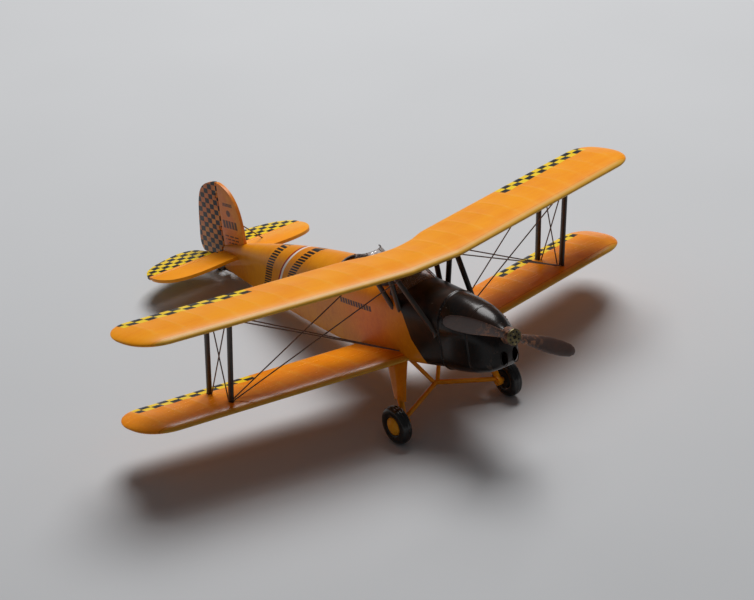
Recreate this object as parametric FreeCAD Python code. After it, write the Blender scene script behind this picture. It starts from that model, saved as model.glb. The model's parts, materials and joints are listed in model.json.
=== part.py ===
"""Display model of a two-seat training biplane, scale 1 to 72.

The aircraft is built level, nose towards -Y and starboard towards -X, with the main axle at height 0.
At the end every piece is tipped nose-up onto its three wheels, and the origin goes to the middle of
the footprint at ground level.
"""
import FreeCAD, Part
import math
import os

V = FreeCAD.Vector
UP = V(0, 0, 1)
SPANWISE = V(1, 0, 0)
AFT = V(0, 1, 0)
SIDES = {"left": 1, "right": -1}

# ---- driving dimensions, millimetres and degrees ----
UPPER_HALF_SPAN = 51.6
UPPER_CHORD = 13.94
UPPER_ROOT = V(5.0, 0.3, 25.06)          # leading edge where the sweep starts
LOWER_HALF_SPAN = 50.8
LOWER_CHORD = 13.1
LOWER_ROOT = V(5.2, 5.41, 9.0)
SWEEP = 0.192                            # aft travel of the leading edge per millimetre of span
UPPER_DIHEDRAL = 0.028
LOWER_DIHEDRAL = 0.022
WING_RISE = 0.018                        # height gained from leading to trailing edge, per chord
SECTION_THICKNESS = 0.125
SECTION_CAMBER = 0.03
TRAILING_EDGE = 0.24
TIP_LENGTH = 5.2                         # spanwise length of the rounded tip
TIP_CENTRE = 0.55                        # chord fraction of the outermost point
CUTOUT_HALF_WIDTH = 6.0
CUTOUT_DEPTH = 1.7

STRUT_X = 35.06
FRONT_SPAR = 0.222
REAR_SPAR = 0.726
STRUT_CHORD = 1.0
STRUT_THICKNESS = 0.6
WIRE_DIAMETER = 0.22

WALL = 0.8
FIREWALL_Y = -3.65
COWL_SPLIT_Z = 16.4
SHAFT_Z = 15.5
SHAFT_RADIUS = 0.5
SHAFT_CLEARANCE = 0.06
PROPELLER_RADIUS = 14.06
PROPELLER_FRONT_Y = -17.75
HUB_LENGTH = 1.7
HUB_RADIUS = 1.42
BLADE_TURN = 30.0                        # how far the blade line is turned from level

WHEEL_RADIUS = 3.3
WHEEL_WIDTH = 2.2
RIM_RADIUS = 1.62
HALF_TRACK = 11.7
AXLE_Y = 2.5
AXLE_RADIUS = 0.4
AXLE_CLEARANCE = 0.05
GEAR_APEX = V(0, 6.5, 2.5)

TAIL_WHEEL_RADIUS = 0.8
TAIL_WHEEL_WIDTH = 0.6
TAIL_AXLE = V(0, 71.0, 12.0)

TAILPLANE_Z = 15.7
TAILPLANE_HALF_SPAN = 16.5
TAIL_THICKNESS = 0.6
ELEVATOR_HINGE_Y = 67.5
HINGE_GAP = 0.17
JOINER_RADIUS = 0.24
RUDDER_HINGE_LOW = V(0, 67.6, 15.7)
RUDDER_LEAN = -0.0945                    # forward lean of the hinge line per millimetre of height
FIN_THICKNESS = 0.62


# ---- shape helpers ----
def spline(points):
    """One smooth edge through the points."""
    curve = Part.BSplineCurve()
    curve.interpolate(points)
    return curve.toShape()


def closed_curve(points):
    """Smooth closed wire; the points don't repeat the first one."""
    curve = Part.BSplineCurve()
    curve.interpolate(points, PeriodicFlag=True)
    return Part.Wire(curve.toShape())


def line(start, end):
    return Part.makeLine(start, end)


def loft(wires, ruled=False):
    return Part.makeLoft(wires, True, ruled)


def cylinder(centre, axis, radius, length):
    """Cylinder with its middle at the centre."""
    start = centre - axis * (length / 2)
    return Part.makeCylinder(radius, length, start, axis)


def box(x0, x1, y0, y1, z0, z1):
    return Part.makeBox(x1 - x0, y1 - y0, z1 - z0, V(x0, y0, z0))


def rod(start, end, radius):
    direction = end - start
    return Part.makeCylinder(radius, direction.Length, start, direction)


def mirrored(shape):
    return shape.mirror(V(0, 0, 0), SPANWISE)


def for_side(shape, side):
    """The shape is modelled at +X; this hands back the copy for a side."""
    return shape if SIDES[side] > 0 else mirrored(shape)


def biggest(shape):
    """The main solid that a cut leaves."""
    return max(shape.Solids, key=lambda solid: solid.Volume)


def arc_points(centre, radius_a, radius_b, axis_a, axis_b, first, last, count):
    """Points along an ellipse between two angles in degrees."""
    points = []
    for step in range(count):
        angle = math.radians(first + (last - first) * step / (count - 1))
        points.append(centre + axis_a * (radius_a * math.cos(angle)) + axis_b * (radius_b * math.sin(angle)))
    return points


# ---- wings ----
def half_thickness(s, thickness):
    """Half thickness of the wing section at chord fraction s, per chord."""
    root = 0.2969 * math.sqrt(s)
    return 5 * thickness * (root - 0.1260 * s - 0.3516 * s ** 2 + 0.2843 * s ** 3 - 0.1036 * s ** 4)


def camber_height(s):
    """Height of the mean line, with the top of its arch at 40 percent of the chord."""
    crest = 0.4
    span = crest if s < crest else 1 - crest
    return SECTION_CAMBER * (1 - ((s - crest) / span) ** 2)


def wing_section(x, leading_y, leading_z, chord, thickness, steps=11):
    """Closed section wire in the plane at x."""
    upper = []
    lower = []
    for step in range(steps + 1):
        s = 1 - math.cos(math.pi / 2 * step / steps)
        middle = camber_height(s) + WING_RISE * s
        half = half_thickness(s, thickness) + TRAILING_EDGE / 2 / UPPER_CHORD * s
        upper.append(V(x, leading_y + s * chord, leading_z + (middle + half) * chord))
        lower.append(V(x, leading_y + s * chord, leading_z + (middle - half) * chord))
    around = spline(list(reversed(upper)) + lower[1:])
    return Part.Wire([around, line(lower[-1], upper[-1])])


def wing_panel(root, half_span, chord, dihedral):
    """Swept panel from its root to a rounded tip, on the +X side."""
    straight_end = half_span - TIP_LENGTH
    stations = [root.x, (root.x + straight_end) / 2, straight_end]
    stations += [straight_end + TIP_LENGTH * part for part in (0.3, 0.55, 0.75, 0.88, 0.96, 0.995)]
    wires = []
    for x in stations:
        part = max(0.0, (x - straight_end) / TIP_LENGTH)
        kept = math.sqrt(1 - part ** 2)
        leading_y = root.y + (x - root.x) * SWEEP + TIP_CENTRE * chord * (1 - kept)
        leading_z = root.z + (x - root.x) * dihedral
        thickness = SECTION_THICKNESS * min(1.0, 0.55 + 0.45 * kept)
        wires.append(wing_section(x, leading_y, leading_z, chord * kept, thickness))
    inner = loft(wires[:3], ruled=True)
    return inner.fuse(loft(wires[2:])).removeSplitter()


def make_upper_wing():
    panel = wing_panel(UPPER_ROOT, UPPER_HALF_SPAN, UPPER_CHORD, UPPER_DIHEDRAL)
    root = wing_section(-UPPER_ROOT.x, UPPER_ROOT.y, UPPER_ROOT.z, UPPER_CHORD, SECTION_THICKNESS)
    centre = Part.Face(root).extrude(V(2 * UPPER_ROOT.x, 0, 0))
    wing = centre.fuse([panel, mirrored(panel)])
    radius = (CUTOUT_HALF_WIDTH ** 2 + CUTOUT_DEPTH ** 2) / (2 * CUTOUT_DEPTH)
    edge_y = UPPER_ROOT.y + UPPER_CHORD - CUTOUT_DEPTH + 0.1
    cutout = cylinder(V(0, edge_y + radius, UPPER_ROOT.z), UP, radius, 10)
    return biggest(wing.cut(cutout))


def wing_point(root, chord, dihedral, x, fraction):
    """Point on the chord line of a wing at a span place and chord fraction."""
    run = x - root.x
    return V(x, root.y + run * SWEEP + fraction * chord, root.z + run * dihedral + WING_RISE * chord * fraction)


def upper_point(x, fraction):
    return wing_point(UPPER_ROOT, UPPER_CHORD, UPPER_DIHEDRAL, x, fraction)


def lower_point(x, fraction):
    return wing_point(LOWER_ROOT, LOWER_CHORD, LOWER_DIHEDRAL, x, fraction)


# ---- fuselage ----
# place along the body, half width, bottom, top of the flat side, top of the deck, bottom corner radius
FUSELAGE_STATIONS = (
    (FIREWALL_Y, 4.6, 8.3, 15.3, 20.7, 2.2),
    (4.0, 5.25, 8.0, 16.4, 21.2, 1.5),
    (13.0, 5.55, 7.85, 17.2, 21.5, 1.0),
    (23.0, 5.25, 8.0, 17.4, 21.6, 0.8),
    (34.0, 4.45, 8.75, 17.2, 21.3, 0.6),
    (45.0, 3.4, 9.75, 16.8, 20.4, 0.5),
    (56.0, 2.15, 10.95, 16.2, 18.85, 0.4),
    (67.6, 0.8, 12.3, 15.6, 16.9, 0.3),
)
COWL_STATIONS = (
    (FIREWALL_Y, 4.7, 7.9, 15.0, 20.6, 2.6),
    (-7.5, 4.55, 8.1, 14.8, 20.1, 2.7),
    (-11.0, 4.0, 8.6, 14.4, 19.2, 2.5),
    (-13.6, 3.2, 9.3, 13.9, 17.9, 2.0),
    (-15.0, 2.45, 10.05, 13.5, 16.85, 1.6),
    (-15.7, 1.8, 10.8, 13.3, 16.4, 1.2),
)
CAVITY_END_Y = 60.0


def body_section(y, half_width, bottom, side_top, deck_top, corner, inset=0.0):
    """Flat sides and bottom, round bottom corners and an elliptical deck."""
    w = half_width - inset
    low = bottom + inset
    top = deck_top - inset
    r = max(0.12, corner - inset)
    deck = arc_points(V(0, y, side_top), w, top - side_top, SPANWISE, UP, 0, 180, 11)
    left_corner = arc_points(V(r - w, y, low + r), r, r, SPANWISE, UP, 180, 270, 5)
    right_corner = arc_points(V(w - r, y, low + r), r, r, SPANWISE, UP, 270, 360, 5)
    edges = [spline(deck), line(deck[-1], left_corner[0]), spline(left_corner),
             line(left_corner[-1], right_corner[0]), spline(right_corner), line(right_corner[-1], deck[0])]
    return Part.Wire(edges)


def body(stations, inset=0.0):
    return loft([body_section(*station, inset=inset) for station in stations])


def cockpit_opening(front, back, half_width):
    """Vertical cutter with a rounded-oblong outline, through the deck only."""
    middle = (front + back) / 2
    squareness = 2.6
    around = []
    for step in range(24):
        turn = 2 * math.pi * step / 24
        across = math.copysign(abs(math.cos(turn)) ** (2 / squareness), math.cos(turn))
        along = math.copysign(abs(math.sin(turn)) ** (2 / squareness), math.sin(turn))
        around.append(V(half_width * across, middle + (back - front) / 2 * along, 17.2))
    return Part.Face(closed_curve(around)).extrude(V(0, 0, 8))


FRONT_COCKPIT = (9.0, 17.2)
REAR_COCKPIT = (20.4, 28.8)
COCKPIT_HALF_WIDTH = 3.7
FLOOR_TOP = 10.6
FLOOR_THICKNESS = 0.6


def make_shell_parts(outer, cavity):
    """Fuselage halves and what is cut to the inside of them."""
    shell = outer.cut(cavity)
    for opening in (FRONT_COCKPIT, REAR_COCKPIT):
        shell = shell.cut(cockpit_opening(*opening, COCKPIT_HALF_WIDTH))
    nodes = {}
    for side, sign in SIDES.items():
        edges = sorted((0, sign * 20))
        nodes[f"fuselage_{side}_half"] = shell.common(box(edges[0], edges[1], -30, 90, 0, 40))
    floor = box(-8, 8, 2.0, 32.0, FLOOR_TOP - FLOOR_THICKNESS, FLOOR_TOP)
    nodes["cockpit_floor"] = floor.common(cavity)
    for name, opening in (("front", FRONT_COCKPIT), ("rear", REAR_COCKPIT)):
        face_y = opening[0] - 0.25
        panel = box(-8, 8, face_y - 0.5, face_y, 16.2, 25).common(cavity)
        nodes[f"{name}_instrument_panel"] = panel
        nodes[f"{name}_seat"] = make_seat(opening[1] - 1.5)
        nodes[f"{name}_control_stick"] = make_stick(opening[0] + 2.6)
    return nodes


def make_seat(back_y):
    """Bucket seat that stands on the cockpit floor."""
    half = 2.2
    pan_z = FLOOR_TOP + 1.6
    pedestal = box(-1.2, 1.2, back_y - 2.4, back_y - 0.6, FLOOR_TOP, pan_z)
    pan = box(-half, half, back_y - 3.2, back_y, pan_z, pan_z + 0.5)
    back = box(-half, half, back_y - 0.5, back_y, pan_z, pan_z + 3.4)
    crown = cylinder(V(0, back_y - 0.25, pan_z + 3.4), AFT, half, 0.5)
    wings = [box(x, x + 0.4, back_y - 2.4, back_y, pan_z, pan_z + 1.5) for x in (-half, half - 0.4)]
    seat = pan.fuse([pedestal, back, crown] + wings).removeSplitter()
    return seat


def make_stick(y):
    """Control stick with a boot and a round grip."""
    foot = V(0, y, FLOOR_TOP)
    boot = Part.makeCone(0.75, 0.3, 0.7, foot, UP)
    lever = rod(foot, foot + V(0, 0.5, 3.0), 0.22)
    grip = Part.makeSphere(0.42, foot + V(0, 0.5, 3.1))
    below = box(-2, 2, y - 2, y + 2, FLOOR_TOP - 2, FLOOR_TOP)
    return boot.fuse([lever, grip]).cut(below).removeSplitter()


def make_windscreen(outer, base_y, foot, head, depth):
    """Clear screen, a raked half round open to the rear, standing on the deck."""
    low_z = 17.5
    foot_width, foot_reach = foot
    head_width, head_reach, head_z = head

    def half_round(z, width, reach, shift, inset):
        points = arc_points(V(0, base_y + shift, z), width - inset, reach - inset, SPANWISE, AFT, 180, 360, 9)
        return Part.Wire([spline(points), line(points[-1], points[0])])

    skin = 0.25
    solid = loft([half_round(low_z, foot_width, foot_reach, 0, 0), half_round(head_z, head_width, head_reach, depth, 0)])
    hollow = loft([half_round(low_z - 1, foot_width * 1.04, foot_reach * 1.08, -depth * 0.1, skin),
                   half_round(head_z + 1, head_width * 0.93, head_reach * 0.8, depth * 1.1, skin)])
    opened = solid.cut(hollow).cut(box(-9, 9, base_y + depth - 0.35, base_y + 20, 0, 40))
    return biggest(opened.cut(outer))


# ---- nose ----
def make_nose():
    outer = body(COWL_STATIONS)
    inner = body([station for station in COWL_STATIONS[:4]], inset=WALL)
    nose = outer.cut(inner)
    for x in (-1.25, 1.25):
        inlet = arc_points(V(x, -20, 11.75), 0.72, 1.3, SPANWISE, UP, 0, 360, 13)
        nose = nose.cut(Part.Face(closed_curve(inlet[:-1])).extrude(V(0, 8, 0)))
    bore = cylinder(V(0, -14, SHAFT_Z), AFT, SHAFT_RADIUS + SHAFT_CLEARANCE, 12)
    collar_room = cylinder(V(0, -12.7, SHAFT_Z), AFT, 1.5, 2.2)
    nose = nose.cut(bore)
    above = box(-10, 10, -30, 10, COWL_SPLIT_Z, 40)
    return {"engine_cowling": biggest(nose.cut(above).cut(collar_room)),
            "cowling_top_panel": biggest(nose.common(above).cut(collar_room))}


def blade_section(radius, width, thickness, pitch):
    """Lens-shaped section across a blade that points along +X."""
    turn = math.radians(pitch)
    across = V(0, math.sin(turn), math.cos(turn))
    through = V(0, math.cos(turn), -math.sin(turn))
    around = arc_points(V(radius, 0, 0), width / 2, thickness / 2, across, through, 0, 360, 13)
    return closed_curve(around[:-1])


def make_propeller():
    # radius as a part of the full radius, width, thickness and pitch of the blade there
    stations = ((0.05, 1.3, 1.2, 35), (0.16, 1.5, 1.0, 34), (0.32, 2.1, 0.75, 30), (0.5, 2.65, 0.6, 25),
                (0.7, 2.75, 0.48, 20), (0.86, 2.35, 0.38, 17), (0.96, 1.5, 0.3, 15), (0.995, 0.6, 0.22, 15))
    blade = loft([blade_section(part * PROPELLER_RADIUS, w, t, p) for part, w, t, p in stations])
    other = blade.copy()
    other.rotate(V(0, 0, 0), AFT, 180)
    hub = cylinder(V(0, 0, 0), AFT, HUB_RADIUS, HUB_LENGTH)
    propeller = hub.fuse([blade, other])
    propeller = propeller.cut(cylinder(V(0, 0, 0), AFT, SHAFT_RADIUS, 10))
    propeller.rotate(V(0, 0, 0), AFT, BLADE_TURN)
    middle = V(0, PROPELLER_FRONT_Y + HUB_LENGTH / 2, SHAFT_Z)
    propeller.translate(middle)
    plate_thickness = 0.28
    plate_y = PROPELLER_FRONT_Y - plate_thickness / 2
    plate = cylinder(V(0, plate_y, SHAFT_Z), AFT, HUB_RADIUS - 0.06, plate_thickness)
    plate = plate.cut(cylinder(V(0, plate_y, SHAFT_Z), AFT, 0.3, 2))
    bolts = []
    bolt_radius = 0.15
    for number in range(8):
        angle = math.radians(BLADE_TURN + 22.5 + 45 * number)
        place = V(0.92 * math.cos(angle), plate_y, SHAFT_Z + 0.92 * math.sin(angle))
        bolts.append(cylinder(place + V(0, 0.2, 0), AFT, bolt_radius, 0.6))
    holes = Part.makeCompound(bolts)
    collar = cylinder(V(0, -12.35, SHAFT_Z), AFT, 1.15, 0.7)
    shaft = cylinder(V(0, (PROPELLER_FRONT_Y - 10.5) / 2, SHAFT_Z), AFT, SHAFT_RADIUS,
                     -10.5 - PROPELLER_FRONT_Y)
    return {"propeller": biggest(propeller.cut(holes)), "propeller_hub_plate": plate.cut(holes),
            "propeller_bolts": holes, "propeller_shaft": shaft,
            "shaft_collar": collar.cut(shaft)}


# ---- struts and wires ----
def faired_strut(start, end, chord=STRUT_CHORD, thickness=STRUT_THICKNESS):
    """Elliptical strut between two points, its long axis fore and aft."""
    along = (end - start).normalize()
    across = along.cross(AFT).normalize()
    fore = across.cross(along).normalize()
    points = arc_points(start, thickness / 2, chord / 2, across, fore, 0, 360, 13)
    return Part.Face(closed_curve(points[:-1])).extrude(end - start)


def make_struts(upper_wing, lower_wing, outer):
    nodes = {}
    interplane = {"front": FRONT_SPAR, "rear": REAR_SPAR}
    cabane_front_top = upper_point(6.6, FRONT_SPAR) + AFT * 0.5
    cabane_rear_top = upper_point(6.9, REAR_SPAR)
    cabane = {"front": (V(4.1, -2.3, 15.0), cabane_front_top),
              "diagonal": (V(4.7, 6.0, 15.8), cabane_front_top + AFT * 0.95),
              "rear": (V(4.7, 7.0, 15.8), cabane_rear_top)}
    for side in SIDES:
        for name, fraction in interplane.items():
            strut = faired_strut(lower_point(STRUT_X, fraction), upper_point(STRUT_X, fraction))
            strut = biggest(strut.cut(upper_wing).cut(lower_wing))
            nodes[f"interplane_{name}_{side}"] = for_side(strut, side)
        placed = None
        for name, (foot, top) in cabane.items():
            strut = biggest(faired_strut(foot, top, 0.95, 0.6).cut(upper_wing).cut(outer))
            if placed:
                strut = biggest(strut.cut(placed))
            placed = strut if placed is None else placed.fuse(strut)
            nodes[f"cabane_{name}_{side}"] = for_side(strut, side)
    return nodes


def make_wires(solids_around):
    """Straight rigging, trimmed to the pieces that it meets."""
    root = V(5.5, 9.0, 9.9)
    upper_front = upper_point(STRUT_X - 0.9, FRONT_SPAR)
    upper_rear = upper_point(STRUT_X - 0.9, REAR_SPAR)
    lower_front = lower_point(STRUT_X - 0.9, FRONT_SPAR)
    lower_rear = lower_point(STRUT_X, REAR_SPAR)
    runs = {
        "flying_wires": ((root, upper_front), (root + V(0.1, 1.1, 0), upper_rear)),
        "landing_wires": ((upper_point(7.3, FRONT_SPAR), lower_front + V(0.6, -0.3, 0)),
                          (upper_point(7.6, REAR_SPAR), lower_front + V(0.2, 0.45, 0))),
        "incidence_wires": ((upper_point(STRUT_X, FRONT_SPAR) + V(0.12, 0.8, -0.3), lower_rear + V(0.12, -0.7, 0)),
                            (upper_point(STRUT_X, REAR_SPAR) + V(-0.12, -0.8, -0.3),
                             lower_point(STRUT_X, FRONT_SPAR) + V(-0.12, 0.8, 0))),
    }
    nodes = {}
    for group, pair in runs.items():
        wires = []
        for start, end in pair:
            wire = rod(start, end, WIRE_DIAMETER / 2)
            for solid in solids_around:
                wire = wire.cut(solid)
            wires.append(biggest(wire))
        for side in SIDES:
            nodes[f"{group}_{side}"] = for_side(Part.makeCompound(wires), side)
    return nodes


# ---- tail ----
def plate(points_groups, origin, normal, thickness):
    """Flat plate from groups of points; each group of more than two is one smooth edge."""
    edges = []
    last = None
    for group in points_groups:
        if last is not None and (last - group[0]).Length > 1e-6:
            edges.append(line(last, group[0]))
        edges.append(spline(group) if len(group) > 2 else line(group[0], group[1]))
        last = group[-1]
    first = points_groups[0][0]
    if (last - first).Length > 1e-6:
        edges.append(line(last, first))
    face = Part.Face(Part.Wire(edges))
    solid = face.extrude(normal * thickness)
    solid.translate(origin - normal * (thickness / 2))
    return solid


def rudder_axis(z):
    """Point of the rudder hinge line at a height."""
    return V(0, RUDDER_HINGE_LOW.y + (z - RUDDER_HINGE_LOW.z) * RUDDER_LEAN, z)


def behind_hinge(distance, depth=20):
    """Slab behind the rudder hinge line, starting at a distance from it."""
    low = rudder_axis(5) + AFT * distance
    high = rudder_axis(35) + AFT * distance
    corners = [low, high, high + AFT * depth, low + AFT * depth, low]
    slab = Part.Face(Part.makePolygon(corners)).extrude(V(10, 0, 0))
    slab.translate(V(-5, 0, 0))
    return slab


def make_tail(outer):
    nodes = {}
    z_level = V(0, 0, TAILPLANE_Z)
    hinge_radius = TAIL_THICKNESS / 2
    front_edge_y = ELEVATOR_HINGE_Y - hinge_radius - HINGE_GAP

    tip_x = TAILPLANE_HALF_SPAN
    leading = [V(0, 61.2, 0), V(tip_x - 9.0, 60.7, 0), V(tip_x - 4.2, 60.9, 0), V(tip_x - 1.6, 62.0, 0),
               V(tip_x - 0.2, 64.1, 0), V(tip_x, front_edge_y, 0)]
    half = plate([leading, [leading[-1], V(0, front_edge_y, 0)]], z_level, UP, TAIL_THICKNESS)
    stab = half.fuse(mirrored(half)).removeSplitter()
    hinge_axis = V(0, ELEVATOR_HINGE_Y, TAILPLANE_Z)
    for sign in (1, -1):
        lug = cylinder(hinge_axis + V(sign * 1.55, 0, 0), SPANWISE, hinge_radius, 0.5)
        web = box(sign * 1.55 - 0.25, sign * 1.55 + 0.25, front_edge_y - 0.3, ELEVATOR_HINGE_Y,
                  TAILPLANE_Z - 0.22, TAILPLANE_Z + 0.22)
        stab = stab.fuse([lug, web])
    stab = stab.cut(cylinder(hinge_axis, SPANWISE, JOINER_RADIUS + 0.03, 8)).removeSplitter()

    elevator_root_x = 2.1
    trailing = [V(tip_x, ELEVATOR_HINGE_Y, 0), V(tip_x - 0.3, 69.0, 0), V(tip_x - 1.6, 70.9, 0),
                V(tip_x - 4.2, 72.5, 0), V(9.0, 73.5, 0), V(6.2, 73.9, 0), V(4.6, 73.5, 0), V(3.2, 72.1, 0)]
    root_edge = [V(3.2, 72.1, 0), V(elevator_root_x, ELEVATOR_HINGE_Y, 0)]
    elevator = plate([trailing, root_edge], z_level, UP, TAIL_THICKNESS)
    nose = cylinder(V((tip_x + elevator_root_x) / 2, ELEVATOR_HINGE_Y, TAILPLANE_Z), SPANWISE, hinge_radius,
                    tip_x - elevator_root_x)
    joiner = cylinder(hinge_axis, SPANWISE, JOINER_RADIUS, 8.4)
    elevator = elevator.fuse(nose).removeSplitter().cut(joiner)

    fin_line = [V(0, 60.1, 17.0), V(0, 60.0, 21.5), V(0, 60.6, 25.0), V(0, 62.1, 27.4), V(0, 64.2, 28.7),
                rudder_axis(29.1) - AFT * 0.5]
    fin = plate([fin_line, [fin_line[-1], rudder_axis(16.0) - AFT * 0.5]], V(0, 0, 0), SPANWISE, FIN_THICKNESS)
    rudder_line = [rudder_axis(29.1), V(0, 69.2, 28.6), V(0, 71.6, 27.3), V(0, 73.2, 24.8), V(0, 74.3, 21.3),
                   V(0, 75.1, 18.0), V(0, 75.3, 15.9), V(0, 74.7, 14.7)]
    rudder = plate([rudder_line, [rudder_line[-1], rudder_axis(12.9)]], V(0, 0, 0), SPANWISE, FIN_THICKNESS)
    along_hinge = (rudder_axis(20) - rudder_axis(10)).normalize()
    rudder_nose = rod(rudder_axis(12.95), rudder_axis(29.05), FIN_THICKNESS / 2)
    rudder = rudder.fuse(rudder_nose)
    notch = box(-2, 2, ELEVATOR_HINGE_Y - 2, ELEVATOR_HINGE_Y + 0.75, TAILPLANE_Z - 0.75, TAILPLANE_Z + 0.75)
    rudder = rudder.cut(notch)
    pins = []
    for z in (20.0, 26.5):
        middle = rudder_axis(z)
        knuckle = cylinder(middle, along_hinge, FIN_THICKNESS / 2, 0.6)
        web = box(-0.2, 0.2, middle.y - 0.8, middle.y, z - 0.28, z + 0.28)
        room = cylinder(middle, along_hinge, 0.62, 0.95)
        rudder = rudder.cut(room)
        fin = fin.fuse([knuckle, web]).cut(cylinder(middle, along_hinge, 0.15, 3))
        pins.append(cylinder(middle, along_hinge, 0.12, 2.2))
    pin_group = Part.makeCompound(pins)
    nodes["tailplane"] = biggest(stab)
    for side in SIDES:
        nodes[f"elevator_{side}"] = for_side(biggest(elevator), side)
    nodes["elevator_joiner"] = joiner
    nodes["fin"] = biggest(fin.cut(outer).cut(stab))
    nodes["rudder"] = biggest(rudder.cut(pin_group))
    nodes["rudder_hinge_pins"] = pin_group
    brace = rod(V(0, 60.6, 21.9), V(7.6, 66.3, TAILPLANE_Z), WIRE_DIAMETER / 2)
    nodes["tail_brace_wire"] = biggest(brace.cut(nodes["fin"]).cut(stab).cut(outer))
    return nodes


def make_tailwheel(outer):
    arm_x = TAIL_WHEEL_WIDTH / 2 + 0.14
    arm_width = 0.24
    leaf_start = V(0, 60.5, 11.56)
    leaf_end = V(0, 68.6, 12.05)
    leaf = box(-0.45, 0.45, 0, (leaf_end - leaf_start).Length, -0.16, 0.16)
    leaf.rotate(V(0, 0, 0), SPANWISE, math.degrees(math.atan2(leaf_end.z - leaf_start.z, leaf_end.y - leaf_start.y)))
    leaf.translate(leaf_start)
    crown_x = arm_x + arm_width + 0.06
    crown = box(-crown_x, crown_x, 68.2, 68.9, 11.8, 12.4)
    arms = [leaf]
    for sign in (1, -1):
        shift = V(sign * (arm_x + arm_width / 2), 0, 0)
        start = V(0, 68.5, 12.1) + shift
        end = TAIL_AXLE + shift
        arms.append(faired_strut(start, end, 0.5, arm_width * 0.8))
        arms.append(cylinder(end, SPANWISE, 0.34, arm_width))
    axle = cylinder(TAIL_AXLE, SPANWISE, 0.2, 2 * (arm_x + arm_width) + 0.2)
    fork = crown.fuse(arms + [axle]).removeSplitter().cut(outer)
    tyre = cylinder(TAIL_AXLE, SPANWISE, TAIL_WHEEL_RADIUS, TAIL_WHEEL_WIDTH)
    tyre = tyre.makeFillet(0.22, [edge for edge in tyre.Edges if edge.BoundBox.XLength < 0.01])
    wheel = tyre.cut(cylinder(TAIL_AXLE, SPANWISE, 0.2 + AXLE_CLEARANCE, 3))
    return {"tailwheel_fork": biggest(fork), "tailwheel": wheel}


# ---- landing gear ----
def make_gear(outer, lower_wing):
    def fairing_section(centre, chord, thickness, normal_tilt):
        across = V(math.cos(normal_tilt), 0, math.sin(normal_tilt))
        points = arc_points(centre, thickness / 2, chord / 2, across, AFT, 0, 360, 13)
        return closed_curve(points[:-1])

    nodes = {}
    axle_centre = V(HALF_TRACK, AXLE_Y, 0)
    hub_inner_x = HALF_TRACK - WHEEL_WIDTH / 2
    leg_foot = V(9.4, 3.7, 3.3)
    leg = loft([fairing_section(V(4.9, 9.2, 9.4), 6.4, 1.5, 0.35),
                fairing_section(V(7.3, 6.4, 6.35), 4.6, 1.35, 0.35),
                fairing_section(leg_foot, 3.0, 1.15, 0.35)])
    stub_end = V(hub_inner_x - 0.25, AXLE_Y, 0)
    oleo = rod(leg_foot + UP * 0.6, stub_end + V(-0.35, 0.1, 0), 0.55)
    knuckle = cylinder(V(hub_inner_x - 0.75, AXLE_Y, 0), SPANWISE, 0.75, 0.9)
    stub = cylinder(V(hub_inner_x + 0.1, AXLE_Y, 0), SPANWISE, AXLE_RADIUS, 2.9)
    bar = rod(V(hub_inner_x - 0.8, AXLE_Y + 0.2, 0.35), GEAR_APEX, 0.42)
    inside = box(-5, 0.02, -20, 40, -10, 40)
    bar = bar.fuse(stub).cut(inside)
    leg = leg.fuse([oleo, knuckle]).cut(bar).cut(outer).cut(lower_wing)
    vee = rod(GEAR_APEX + V(0.3, 0, 0), V(3.6, 8.4, 8.2), 0.36).cut(bar).cut(outer).cut(inside)

    tyre_profile = arc_points(V(HALF_TRACK, AXLE_Y, 0), WHEEL_WIDTH / 2, 1, SPANWISE, UP, 0, 180, 9)
    tread = [V(point.x, AXLE_Y, RIM_RADIUS + (WHEEL_RADIUS - RIM_RADIUS) * point.z) for point in tyre_profile]
    face = Part.Face(Part.Wire([spline(tread), line(tread[-1], tread[0])]))
    tyre = face.revolve(axle_centre, SPANWISE, 360)
    hub_half = WHEEL_WIDTH / 2 - 0.1
    hub = cylinder(axle_centre, SPANWISE, RIM_RADIUS, 2 * hub_half)
    cap = Part.makeCone(1.35, 0.95, 0.35, axle_centre + V(hub_half, 0, 0), SPANWISE)
    stub_bore = cylinder(V(hub_inner_x + 0.1, AXLE_Y, 0), SPANWISE, AXLE_RADIUS + AXLE_CLEARANCE, 3.2)
    hub = hub.fuse(cap).cut(stub_bore)
    for side in SIDES:
        nodes[f"gear_leg_{side}"] = for_side(biggest(leg), side)
        nodes[f"half_axle_{side}"] = for_side(biggest(bar), side)
        nodes[f"gear_vee_{side}"] = for_side(biggest(vee), side)
        nodes[f"tyre_{side}"] = for_side(tyre.cut(hub), side)
        nodes[f"wheel_hub_{side}"] = for_side(biggest(hub), side)
    return nodes


# ---- assembly ----
def ground_pitch():
    """Nose-up angle that brings the main wheels and the tail wheel onto one plane."""
    run = TAIL_AXLE.y - AXLE_Y
    climb = math.atan2(TAIL_AXLE.z, run)
    distance = math.hypot(run, TAIL_AXLE.z)
    return climb + math.asin((WHEEL_RADIUS - TAIL_WHEEL_RADIUS) / distance)


def stand_on_ground(nodes):
    pitch = ground_pitch()
    for shape in nodes.values():
        shape.rotate(V(0, 0, 0), SPANWISE, -math.degrees(pitch))
    boxes = [shape.optimalBoundingBox(True, False) for shape in nodes.values()]
    middle_y = (min(b.YMin for b in boxes) + max(b.YMax for b in boxes)) / 2
    axle_height = AXLE_Y * -math.sin(pitch)
    lift = WHEEL_RADIUS - axle_height
    for shape in nodes.values():
        shape.translate(V(0, -middle_y, lift))
    print(f"pitch {math.degrees(pitch):.3f} degrees, shift aft {-middle_y:.4f}, lift {lift:.4f}")


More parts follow.
